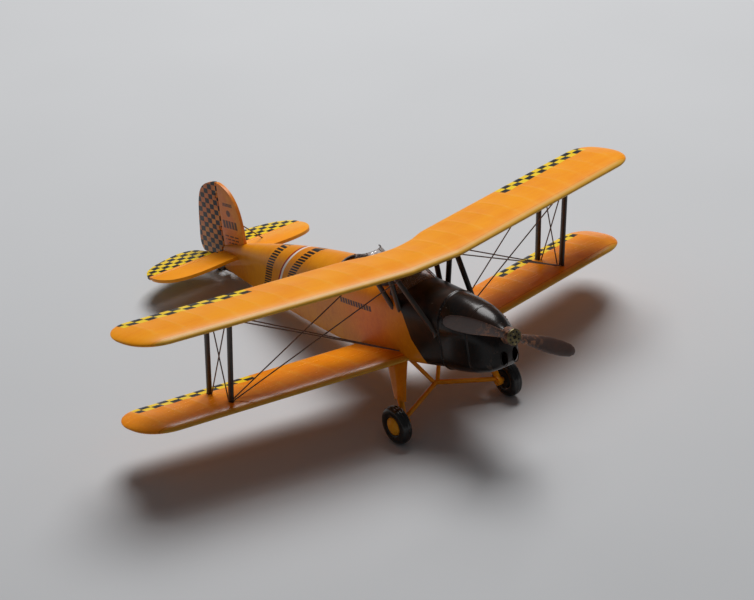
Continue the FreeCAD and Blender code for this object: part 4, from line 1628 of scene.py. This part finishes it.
def body_loop(y: float, station: Sequence[float], inset: float = 0.0) -> Loop:
    """Section of the body: elliptical deck, flat sides, round bottom corners.

    Args:
        y: place along the body.
        station: half width, bottom, top of the side, top of the deck, corner radius.
        inset: how far the section is drawn in.

    Returns:
        The closed section.
    """
    half, bottom, side_top, deck_top, corner = station
    wide = half - inset
    low = bottom + inset
    top = deck_top - inset
    bend = max(0.12, corner - inset)
    points = []
    for step in range(40):
        turn = math.pi * step / 40
        points.append((wide * math.cos(turn), side_top + (top - side_top) * math.sin(turn)))
    for step in range(14):
        points.append((-wide, side_top + (low + bend - side_top) * step / 14))
    for step in range(8):
        turn = math.pi * (1 + step / 16)
        points.append((bend - wide + bend * math.cos(turn), low + bend + bend * math.sin(turn)))
    for step in range(10):
        points.append(((wide - bend) * (step / 5 - 1), low))
    for step in range(8):
        turn = math.pi * (1.5 + step / 16)
        points.append((wide - bend + bend * math.cos(turn), low + bend + bend * math.sin(turn)))
    for step in range(14):
        points.append((wide, low + bend + (side_top - low - bend) * step / 14))
    return [Vector((x, y, z)) for x, z in points]


def cut_out(base: bpy.types.Mesh, cutters: Sequence[bpy.types.Mesh]) -> bpy.types.Mesh:
    """Cuts closed meshes out of another.

    Args:
        base: the mesh to cut.
        cutters: what is taken away.

    Returns:
        The cut mesh.
    """
    holder = added("holder", base)
    tools = [added("tool", cutter) for cutter in cutters]
    for tool in tools:
        modifier = holder.modifiers.new("cut", "BOOLEAN")
        modifier.operation = "DIFFERENCE"
        modifier.solver = "EXACT"
        modifier.object = tool
    result = evaluated(holder)
    for extra in (holder, *tools):
        bpy.data.objects.remove(extra)
    return result


def oblong(middle: Vector, half_x: float, half_y: float, squareness: float = 2.6, steps: int = 64) -> Loop:
    """Rounded oblong in a level plane.

    Args:
        middle: its centre.
        half_x: half its width.
        half_y: half its length.
        squareness: 2 for an ellipse, more for squarer corners.
        steps: number of points.

    Returns:
        The points.
    """
    loop = []
    for step in range(steps):
        turn = 2 * math.pi * step / steps
        across = math.copysign(abs(math.cos(turn)) ** (2 / squareness), math.cos(turn))
        along = math.copysign(abs(math.sin(turn)) ** (2 / squareness), math.sin(turn))
        loop.append(middle + Vector((half_x * across, half_y * along, 0)))
    return loop


@dataclass
class Fuselage:
    """Body aft of the firewall, its cockpits and what stands in them."""

    shop: Workshop
    wall: float = 0.55
    cockpits: tuple[tuple[float, float], ...] = ((8.6, 16.0), (19.4, 25.8))
    cockpit_half: float = 3.7
    dial_columns: tuple[float, ...] = (-1.9, 0.0, 1.9)
    dial_rows: tuple[float, ...] = (1.9, 3.35)
    dial_radius: float = 0.5
    seat_shifts: tuple[float, ...] = (-1.2, -2.6)
    cavity_end: float = 60.0
    row_step: float = 0.36
    crease_start: float = 56.0

    def build(self) -> None:
        """Builds and dresses the body and its cockpits."""
        paint = OrangePaint("fuselage_orange", base=(0.82, 0.29, 0.004), deep=(0.68, 0.19, 0.003),
                            marks=FuselageMarks(), roughness=0.3)
        mesh = cut_out(self.outer(), [self.cavity(), *[self.opening(*span) for span in self.cockpits]])
        self.shop.place("fuselage_skin", mesh, paint, Slot.FUSELAGE,
                        ("fuselage_left_half", "fuselage_right_half"), 40.0)
        self.rims()
        self.furnish()

    def section(self, y: float, inset: float = 0.0) -> Loop:
        """Section at a place, with the slight crease of the rear sides.

        Args:
            y: place along the body.
            inset: how far the section is drawn in.

        Returns:
            The closed section.
        """
        station = spread(FUSELAGE_STATIONS, y)
        loop = body_loop(y, station, inset)
        fade = min(1.0, max(0.0, (y - 66.0) / 1.6))
        for point in loop:
            point.y += (fade * ((point.z - RUDDER_HINGE.z) * RUDDER_LEAN - 0.5))
        if inset == 0.0 and y > self.crease_start:
            height = 15.4 - (y - self.crease_start) * 0.21
            for point in loop:
                ridge = max(0.0, 1.0 - abs(point.z - height) / 0.5)
                point.x += math.copysign(0.1 * ridge * ridge, point.x)
        return loop

    def outer(self) -> bpy.types.Mesh:
        """The closed outer body."""
        last = FUSELAGE_STATIONS[-1][0]
        count = int((last - FIREWALL_Y) / self.row_step)
        loops = [self.section(y) for y in np.linspace(FIREWALL_Y, last, count + 1)]
        return Mesh().skin(loops).data("body", self.shop.level.matrix)

    def cavity(self) -> bpy.types.Mesh:
        """The hollow inside the walls."""
        first = FIREWALL_Y + self.wall
        loops = [self.section(y, self.wall) for y in np.linspace(first, self.cavity_end, 91)]
        return Mesh().skin(loops).data("cavity", self.shop.level.matrix)

    def opening(self, front: float, back: float) -> bpy.types.Mesh:
        """Upright cutter of one cockpit."""
        middle = (front + back) / 2
        loops = [oblong(Vector((0, middle, z)), self.cockpit_half, (back - front) / 2) for z in (17.2, 26.0)]
        return Mesh().skin(loops).data("opening", self.shop.level.matrix)

    def deck_height(self, x: float, y: float) -> float:
        """Height of the deck above a point."""
        half, _, side_top, deck_top, _ = spread(FUSELAGE_STATIONS, y)
        return side_top + (deck_top - side_top) * math.sqrt(max(0.0, 1 - (x / half) ** 2))

    def rims(self) -> None:
        """Padded rims round both cockpits."""
        leather = DarkPaint("rim_leather", (0.030, 0.016, 0.010), (0.10, 0.05, 0.03), 0.5, coat=0.1,
                            relief=0.02)
        for name, (front, back) in zip(("front", "rear"), self.cockpits):
            ring = oblong(Vector((0, (front + back) / 2, 0)), self.cockpit_half, (back - front) / 2, steps=96)
            for point in ring:
                point.z = self.deck_height(point.x, point.y) + 0.02
            mesh = self.shop.tube([ring], 0.24, closed=True, sides=14)
            self.shop.place(f"{name}_cockpit_rim", mesh, leather, Slot.PANEL, (), 60.0)

    def furnish(self) -> None:
        """Dresses the floor, seats, sticks and instrument panels."""
        grey = DarkPaint("cockpit_grey_paint", (0.12, 0.125, 0.11), (0.22, 0.22, 0.2), 0.55, relief=0.02)
        tan = DarkPaint("seat_tan_paint", (0.24, 0.13, 0.06), (0.42, 0.27, 0.15), 0.5, relief=0.02)
        black = DarkPaint("panel_black_paint", (0.012, 0.011, 0.011), (0.06, 0.055, 0.05), 0.45)
        self.shop.dress_copy("cockpit_floor", grey, Slot.COCKPIT)
        for name, shift in zip(("front", "rear"), self.seat_shifts):
            self.shop.dress_copy(f"{name}_seat", tan, Slot.SEAT, bevel=0.08, back=shift)
            self.shop.dress_copy(f"{name}_control_stick", black, Slot.PANEL, back=shift / 2)
            self.shop.dress_copy(f"{name}_instrument_panel", black, Slot.PANEL, bevel=0.04)
            self.dials(name)

    def dials(self, name: str) -> None:
        """Six dial bezels on one instrument panel."""
        low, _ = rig.box(f"{name}_instrument_panel")
        low_z = (self.shop.level.matrix.inverted() @ low).z
        steel = DarkPaint("dial_rim", (0.10, 0.10, 0.10), (0.4, 0.38, 0.35), 0.35, metallic=0.6)
        rings = []
        front = self.cockpits[0 if name == "front" else 1][0] - 0.2
        across, upward = Vector((self.dial_radius, 0, 0)), Vector((0, 0, self.dial_radius))
        for column in self.dial_columns:
            for row in self.dial_rows:
                rings.append(ellipse_loop(Vector((column, front, low_z + row)), across, upward, 20))
        mesh = self.shop.tube(rings, 0.07, closed=True, sides=8)
        self.shop.place(f"{name}_dial_rims", mesh, steel, Slot.PANEL, (), 60.0)


@dataclass
class Nose:
    """Engine cowling: one skin with its seams, rib, inlets and fasteners."""

    shop: Workshop
    rib_height: float = 0.16
    rib_width: float = 0.2
    seam_y: float = -10.4
    split_z: float = 16.4
    seam_depth: float = 0.07
    inlet_x: float = 1.08
    inlet_z: float = 11.75
    inlet_half_width: float = 0.66
    inlet_half_height: float = 1.3

    def build(self) -> None:
        """Builds and dresses the cowling."""
        mesh = cut_out(self.skin(), [self.inlet(x) for x in (-self.inlet_x, self.inlet_x)])
        self.shop.place("nose_cowl_skin", mesh, NosePaint(), Slot.NOSE,
                        ("engine_cowling", "cowling_top_panel"), 38.0)
        self.inlet_linings()
        self.fasteners()

    def skin(self) -> bpy.types.Mesh:
        """The closed cowling with its raised rib and sunk seams."""
        first = COWL_STATIONS[0][0]
        loops = []
        for inset, back in ((1.6, -0.34), (1.15, -0.3), (0.75, -0.22), (0.4, -0.12), (0.15, -0.03)):
            loops.append(body_loop(first + back, COWL_STATIONS[0][1:], inset))
        for y in np.linspace(first, FIREWALL_Y + 0.25, 151):
            loops.append(self.shaped(body_loop(y, spread(COWL_STATIONS, y)), y))
        return Mesh().skin(loops).data("cowl", self.shop.level.matrix)

    def shaped(self, loop: Loop, y: float) -> Loop:
        """Adds the rib and the seams to a section.

        Args:
            loop: the plain section.
            y: its place along the body.

        Returns:
            The shaped section.
        """
        middle = Vector((0, y, 14.0))
        rib = self.rib_height * math.exp(-((y - FIREWALL_Y) / self.rib_width) ** 2)
        cross = self.seam_depth * math.exp(-((y - self.seam_y) / 0.12) ** 2)
        shaped = []
        for point in loop:
            side = self.seam_depth * math.exp(-((point.z - self.split_z) / 0.14) ** 2)
            side = side if abs(point.x) > 0.5 and y > -15.0 else 0.0
            shaped.append(point + (point - middle).normalized() * (rib - max(cross, side)))
        return shaped

    def inlet(self, x: float) -> bpy.types.Mesh:
        """Cutter of one oval inlet."""
        loops = [ellipse_loop(Vector((x, y, self.inlet_z)), Vector((self.inlet_half_width * size, 0, 0)),
                              Vector((0, 0, self.inlet_half_height * size)), 40)
                 for y, size in ((-18.0, 1.0), (-15.0, 1.0), (-13.4, 0.72))]
        return Mesh().skin(loops).data("inlet", self.shop.level.matrix)

    def inlet_linings(self) -> None:
        """Thin lips round both inlets."""
        rings = []
        for x in (-self.inlet_x, self.inlet_x):
            middle = Vector((x, COWL_STATIONS[0][0] - 0.12, self.inlet_z))
            rings.append(ellipse_loop(middle, Vector((self.inlet_half_width + 0.01, 0, 0)),
                                      Vector((0, 0, self.inlet_half_height)), 48))
        mesh = self.shop.tube(rings, 0.07, closed=True, sides=10)
        self.shop.place("inlet_lips", mesh, NosePaint(), Slot.NOSE, (), 60.0)

    def fasteners(self) -> None:
        """Small studs along the side seams of the hood."""
        points = []
        normals = []
        for side in Side:
            for y in np.linspace(-13.2, -4.8, 8):
                half, _, side_top, deck_top, _ = spread(COWL_STATIONS, float(y))
                rise = (self.split_z + 0.35 - side_top) / (deck_top - side_top)
                across = half * math.sqrt(max(0.0, 1.0 - rise * rise))
                points.append(Vector((side.value * across, float(y), self.split_z + 0.35)))
                normals.append(Vector((side.value, 0.0, 0.5)))
        mesh = facing_points(points, normals)
        made = self.shop.studs.run(mesh, Radius=0.11, Length=0.08, Sides=12)
        self.shop.place("cowl_fasteners", self.shop.level_mesh(made), NosePaint(), Slot.NOSE, (), 50.0)


def facing_points(points: Sequence[Vector], normals: Sequence[Vector]) -> bpy.types.Mesh:
    """Tiny triangles whose corners share a normal, for studs to stand on.

    Args:
        points: where the studs stand.
        normals: which way they face.

    Returns:
        A mesh with three points near each place, the first of them on it.
    """
    corners: list[Vector] = []
    faces: list[tuple[int, ...]] = []
    for point, normal in zip(points, normals):
        side = normal.orthogonal().normalized() * 1e-4
        other = normal.normalized().cross(side)
        first = len(corners)
        corners.extend((point, point + side, point + other))
        faces.append((first, first + 1, first + 2))
    mesh = bpy.data.meshes.new("stations")
    mesh.from_pydata(corners, [], faces)
    return mesh


@dataclass
class Windscreen:
    """One raked clear screen, open to the rear, with a thin dark frame."""

    shop: Workshop
    name: str
    base_y: float
    foot: tuple[float, float]
    head: tuple[float, float, float]
    rake: float = 1.0
    skin: float = 0.18

    def build(self, body: Fuselage) -> None:
        """Builds the screen and its frame on the deck of a body."""
        outer = [self.arc(part, 0.0, body) for part in np.linspace(0.0, 1.0, 12)]
        inner = [self.arc(part, self.skin, body) for part in np.linspace(1.0, 0.0, 12)]
        loops = [*outer, *inner, outer[0]]
        shell = Mesh().skin(loops, close_ends=False, closed_loops=False)
        mesh = mended(shell.data("screen", self.shop.level.matrix, merge=0.001), fill=True)
        self.shop.place(f"{self.name}_screen_clear", mesh, SmokedClear(), Slot.SCREEN,
                        (f"{self.name}_windscreen",), 40.0)
        frame = DarkPaint("screen_frame", (0.035, 0.022, 0.017), (0.12, 0.08, 0.06), 0.4)
        foot = self.arc(0.0, self.skin / 2, body)
        head = self.arc(1.0, self.skin / 2, body)
        uprights = [[foot[step], head[step]] for step in (0, 8, 16, 24)]
        edges = self.shop.tube([foot, *uprights], 0.1, sides=10)
        self.shop.place(f"{self.name}_screen_frame", edges, frame, Slot.PANEL, (), 60.0)

    def arc(self, part: float, inset: float, body: Fuselage) -> Loop:
        """Level cut of the screen.

        Args:
            part: 0 at the deck, 1 at the top.
            inset: how far the arc is drawn in.
            body: the body that the screen stands on.

        Returns:
            The points from starboard round the front to port.
        """
        foot_width, foot_reach = self.foot
        head_width, head_reach, head_z = self.head
        head_y = self.base_y + self.rake
        loop = []
        for step in range(25):
            turn = math.pi * (1 + step / 24)
            x, y = math.cos(turn), math.sin(turn)
            low = Vector((x * (foot_width - inset), self.base_y + y * (foot_reach - inset), 0))
            low.z = body.deck_height(low.x * 0.97, low.y) - 0.1
            high = Vector((x * (head_width - inset), head_y + y * (head_reach - inset), head_z))
            loop.append(low.lerp(high, part))
        return loop


# ---- propeller ----
@dataclass
class Propeller:
    """Two-blade wooden propeller with its hub plate and bolts."""

    shop: Workshop
    radius: float = 14.06
    front_y: float = -17.75
    shaft_z: float = PROPELLER_JOINT.z
    hub_radius: float = 1.42
    hub_length: float = 1.7
    turn: float = 30.0
    bolt_circle: float = 0.92
    plate_thick: float = 0.28
    # part of the radius, width, thickness, pitch
    stations: tuple[tuple[float, ...], ...] = (
        (0.03, 1.35, 1.3, 35), (0.16, 1.55, 1.05, 34), (0.32, 2.1, 0.78, 30), (0.5, 2.65, 0.6, 25),
        (0.7, 2.75, 0.48, 20), (0.86, 2.35, 0.38, 17), (0.96, 1.5, 0.3, 15), (1.0, 0.25, 0.14, 15))

    def build(self) -> None:
        """Builds and dresses the propeller."""
        matrix = self.shop.level.matrix
        middle = Vector((0, self.front_y + self.hub_length / 2, self.shaft_z))
        mesh = Mesh()
        for half in (0, 180):
            mesh.skin([self.section(part, half, middle) for part in self.parts()])
        bevel = 0.18
        edge = self.hub_length / 2
        profile = [(-edge, 0.02), (-edge, self.hub_radius - bevel)]
        profile += [(-edge + bevel * (1 - math.cos(a)), self.hub_radius - bevel * (1 - math.sin(a)))
                    for a in np.linspace(0.3, math.pi / 2, 5)]
        profile += [(-along, radius) for along, radius in reversed(profile)]
        mesh.revolved(profile, middle, Vector((0, 1, 0)), 56)
        self.shop.place("propeller_carved", mesh.data("propeller", matrix), WornBlade(), Slot.PROPELLER,
                        ("propeller",), 42.0, Body.PROPELLER)
        self.plate(matrix)
        steel = DarkPaint("shaft_steel", (0.14, 0.13, 0.12), (0.4, 0.38, 0.35), 0.35, metallic=0.8)
        for node in ("propeller_shaft", "shaft_collar"):
            self.shop.dress_copy(node, steel, Slot.SHAFT, body=Body.PROPELLER)

    def parts(self) -> list[float]:
        """Radial places of the sections, closer together at the tip."""
        inner = list(np.linspace(self.stations[0][0], 0.9, 34))
        return inner + [0.9 + 0.1 * math.sin(math.pi / 2 * step / 14) for step in range(1, 15)]

    def section(self, part: float, half: float, middle: Vector) -> Loop:
        """One section of a blade: rounded front, flatter back.

        Args:
            part: part of the full radius.
            half: turn of the blade in degrees, 0 or 180.
            middle: middle of the hub.

        Returns:
            The closed section.
        """
        width, thick, pitch = spread(self.stations, part)
        if part > 0.96:
            width = 1.5 * math.sqrt(max(0.01, 1 - ((part - 0.96) / 0.0402) ** 2))
        angle = math.radians(pitch)
        across = Vector((0, math.sin(angle), math.cos(angle)))
        through = Vector((0, -math.cos(angle), math.sin(angle)))
        turn = Matrix.Rotation(math.radians(self.turn + half), 3, "Y")
        loop = []
        for step in range(28):
            around = 2 * math.pi * step / 28
            depth = math.sin(around) * (0.5 if math.sin(around) > 0 else 0.42)
            point = Vector((part * self.radius, 0, 0)) + across * (width / 2 * math.cos(around))
            loop.append(middle + turn @ (point + through * (thick * depth)))
        return loop

    def plate(self, matrix: Matrix) -> None:
        """Round brass plate on the hub's face, with eight sunk bolts and a centre hole."""
        thick = self.plate_thick
        rim = self.hub_radius - 0.06
        bore = 0.3
        place = Vector((0, self.front_y, self.shaft_z))
        profile = [(0.0, bore), (0.0, rim), (-thick + 0.07, rim), (-thick + 0.02, rim - 0.03),
                   (-thick, rim - 0.09), (-thick, bore + 0.04), (-thick + 0.05, bore), (0.0, bore)]
        ring = Mesh().revolved(profile, place, Vector((0, 1, 0)), 64)
        ring.faces = [face for face in ring.faces if len(face) == 4]
        plate = ring.data("plate", matrix, merge=0.001)
        self.shop.place("hub_plate_brass", plate, BrassPlate(), Slot.PLATE, ("propeller_hub_plate",), 35.0,
                        Body.PROPELLER)
        points = []
        for number in range(8):
            angle = math.radians(self.turn + 22.5 + 45 * number)
            points.append(place + Vector((self.bolt_circle * math.cos(angle), -thick,
                                          self.bolt_circle * math.sin(angle))))
        points.append(place + Vector((0, -thick + 0.12, 0)))
        stations = facing_points(points, [Vector((0, -1, 0))] * len(points))
        bolts = self.shop.studs.run(stations, Radius=0.17, Length=0.12, Sides=16)
        dark = DarkPaint("bolt_dark", (0.010, 0.009, 0.008), (0.06, 0.045, 0.03), 0.4, metallic=0.4)
        self.shop.place("hub_bolts", self.shop.level_mesh(bolts), dark, Slot.BOLTS, ("propeller_bolts",),
                        45.0, Body.PROPELLER)


# ---- tail ----
@dataclass
class Tail:
    """Tailplane, elevators, fin and rudder with their small parts."""

    shop: Workshop
    edge_round: float = 0.2
    hinge_y: float = 67.5
    brace_ends: tuple[tuple[float, ...], ...] = ((0.0, 60.6, 21.9), (7.6, 66.3, 15.7))
    brace_radius: float = 0.11

    def build(self) -> None:
        """Dresses the tail."""
        plain = OrangePaint("tailplane_orange", roughness=0.32)
        fin = OrangePaint("fin_orange", base=(0.80, 0.25, 0.03), deep=(0.70, 0.19, 0.02), marks=FinMarks())
        rudder = OrangePaint("rudder_orange", base=(0.66, 0.19, 0.035), deep=(0.48, 0.12, 0.03),
                             marks=RudderChecks(RUDDER_HINGE.y, RUDDER_HINGE.z, RUDDER_LEAN))
        elevator = OrangePaint("elevator_orange", marks=ElevatorChecks(self.hinge_y))
        bevel = self.edge_round
        self.shop.dress_copy("tailplane", plain, Slot.TAIL, bevel)
        self.shop.dress_copy("fin", fin, Slot.TAIL, bevel)
        self.shop.dress_copy("rudder", rudder, Slot.TAIL, bevel, body=Body.RUDDER)
        for side in Side:
            self.shop.dress_copy(f"elevator_{side.word}", elevator, Slot.TAIL, bevel, body=Body.ELEVATORS)
        self.shop.dress_copy("elevator_joiner", STRUT_BLACK, Slot.STRUTS, body=Body.ELEVATORS)
        self.shop.dress_copy("rudder_hinge_pins", STRUT_BLACK, Slot.STRUTS, body=Body.RUDDER)
        wire = self.shop.tube([[Vector(end) for end in self.brace_ends]], self.brace_radius)
        self.shop.place("tail_brace_drawn", wire, WIRE_BROWN, Slot.WIRE, ("tail_brace_wire",), 50.0)
        self.shop.dress_copy("tailwheel_fork", STRUT_BLACK, Slot.STRUTS, 0.04)
        tyre = Rubber("tail_tyre", Vector((0, 71.0, 12.0)))
        self.shop.dress_copy("tailwheel", tyre, Slot.TYRE, 0.05, body=Body.TAIL_WHEEL)


# ---- landing gear ----
@dataclass
class LandingGear:
    """Legs, split axle and wheels."""

    shop: Workshop
    wheel_radius: float = 3.3
    rim_radius: float = 1.55
    width: float = 2.0
    half_track: float = 11.7
    axle_y: float = 2.5

    def build(self) -> None:
        """Builds and dresses both sides."""
        gear = OrangePaint("gear_orange", base=(0.88, 0.30, 0.006), deep=(0.74, 0.20, 0.004))
        ring = tyre_maker()
        for side in Side:
            for node in ("gear_leg", "half_axle", "gear_vee"):
                self.shop.dress_copy(f"{node}_{side.word}", gear, Slot.GEAR, angle=32.0)
            self.wheel(side, ring)

    def wheel(self, side: Side, ring: Maker) -> None:
        """Builds one wheel.

        Args:
            side: port or starboard.
            ring: the tyre tree.
        """
        body = Body.LEFT_WHEEL if side is Side.LEFT else Body.RIGHT_WHEEL
        centre = Vector((side.value * self.half_track, self.axle_y, 0.0))
        rubber = Rubber("tyre_rubber", Vector((self.half_track, self.axle_y, 0.0)))
        mesh = ring.run(bpy.data.meshes.new("seed"), Radius=self.wheel_radius, Rim=self.rim_radius - 0.12,
                        Width=self.width, Groove=0.11)
        mesh.transform(Matrix.Translation(centre))
        self.shop.place(f"tyre_moulded_{side.word}", self.shop.level_mesh(mended(mesh)), rubber, Slot.TYRE,
                        (f"tyre_{side.word}",), 60.0, body)
        out = self.width / 2 - 0.1
        rim = self.rim_radius
        disc = [(-out, 0.46), (-out, rim - 0.1), (-out + 0.1, rim), (out - 0.12, rim), (out, rim - 0.06)]
        cap = [(0.02, 1.42), (-0.06, 1.36), (-0.02, 1.28), (0.2, 1.1), (0.32, 0.8), (0.37, 0.4), (0.38, 0.02)]
        profile = disc + [(out + rise, radius) for rise, radius in cap]
        hub = Mesh().revolved(profile, centre, Vector((float(side.value), 0, 0)), 64)
        paint = OrangePaint("hub_yellow_paint", base=(0.84, 0.36, 0.010), deep=(0.72, 0.26, 0.008),
                            marks=InnerBlack(self.half_track + 0.3), roughness=0.36)
        self.shop.place(f"wheel_cap_{side.word}", hub.data("hub", self.shop.level.matrix), paint, Slot.HUB,
                        (f"wheel_hub_{side.word}",), 40.0, body)


# ---- studio ----
@dataclass
class Studio:
    """Camera, backdrop and light.

    Angles are degrees, the camera's place is in level millimetres, the light's and the floor's are in metres.
    """

    shop: Workshop
    azimuth: float = -32.66
    elevation: float = 18.96
    roll: float = -10.2
    place: Vector = field(default_factory=lambda: Vector((-244.8, -361.9, 170.6)))
    lens: float = 134.8
    key_energy: float = 3.6
    key_size: float = 0.33
    key_place: Vector = field(default_factory=lambda: Vector((0.20, 0.20, 0.52)))
    key_target: Vector = field(default_factory=lambda: Vector((0.0, 0.02, 0.0)))
    fill: float = 0.10
    floor_half: float = 2.5

    def build(self) -> None:
        """Sets up the studio."""
        self.camera()
        self.floor()
        self.lights()

    def camera(self) -> None:
        """Adds the camera and makes it the scene's."""
        az, el, roll = (math.radians(angle) for angle in (self.azimuth, self.elevation, self.roll))
        level_axes = Matrix.Rotation(az, 4, "Z") @ Matrix.Rotation(math.pi / 2 - el, 4, "X")
        axes = level_axes @ Matrix.Rotation(roll, 4, "Z")
        data = bpy.data.cameras.new("camera")
        data.lens = self.lens
        data.clip_start = 0.01
        data.dof.use_dof = False
        camera = added("camera", data)
        turn = Matrix.Rotation(-self.shop.level.pitch, 4, "X")
        camera.matrix_world = Matrix.Translation(self.shop.level.matrix @ self.place) @ turn @ axes
        bpy.context.scene.camera = camera

    def floor(self) -> None:
        """Adds the pale seamless floor."""
        half = self.floor_half
        mesh = bpy.data.meshes.new("floor")
        corners = [(-half, -half, 0), (half, -half, 0), (half, half, 0), (-half, half, 0)]
        mesh.from_pydata(corners, [], [(0, 1, 2, 3)])
        floor = added("floor", mesh)
        sheet = Dresser("paper_sweep", self.shop.level)
        tone = sheet.noise(0.02, 2.0)
        colour = sheet.mix(tone, (0.52, 0.525, 0.535), (0.56, 0.565, 0.575))
        mesh.materials.append(sheet.finish(colour, 0.9, sheet.noise(1.5, 3.0), 0.004, Specular_IOR_Level=0.2))
        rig.stage(floor)

    def lights(self) -> None:
        """Adds the soft key above and behind, and the even fill."""
        scene = bpy.context.scene
        scene.view_settings.view_transform = "Standard"
        data = bpy.data.lights.new("key", "AREA")
        data.size = self.key_size
        data.energy = self.key_energy
        light = added("key", data)
        light.location = self.key_place
        light.rotation_euler = (self.key_target - self.key_place).to_track_quat("-Z", "Y").to_euler()
        world = bpy.data.worlds.new("studio_fill")
        world.use_nodes = True
        background = world.node_tree.nodes["Background"]
        background.inputs["Color"].default_value = (0.92, 0.95, 1.0, 1.0)
        background.inputs["Strength"].default_value = self.fill
        scene.world = world


def main() -> None:
    """Builds the aircraft round its frame and writes its size."""
    logging.basicConfig(level=logging.INFO, format="%(name)s %(message)s")
    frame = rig.load()
    cad_box = [list(corner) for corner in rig.bounds()]
    shop = Workshop(frame)
    body = Fuselage(shop)
    for assembly in (Studio(shop), Wings(shop), Bracing(shop), body, Nose(shop), Propeller(shop), Tail(shop),
                     LandingGear(shop)):
        assembly.build()
    for screen in (Windscreen(shop, "front", 8.6, (4.6, 4.4), (2.7, 2.2, 23.3)),
                   Windscreen(shop, "rear", 19.3, (4.4, 4.0), (2.6, 2.0, 23.9))):
        screen.build(body)
    sizes = {"cad": cad_box, "visual": [list(corner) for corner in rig.bounds()]}
    with open(SIZE_FILE, "w") as file:
        json.dump(sizes, file)


if __name__ == "__main__":
    main()
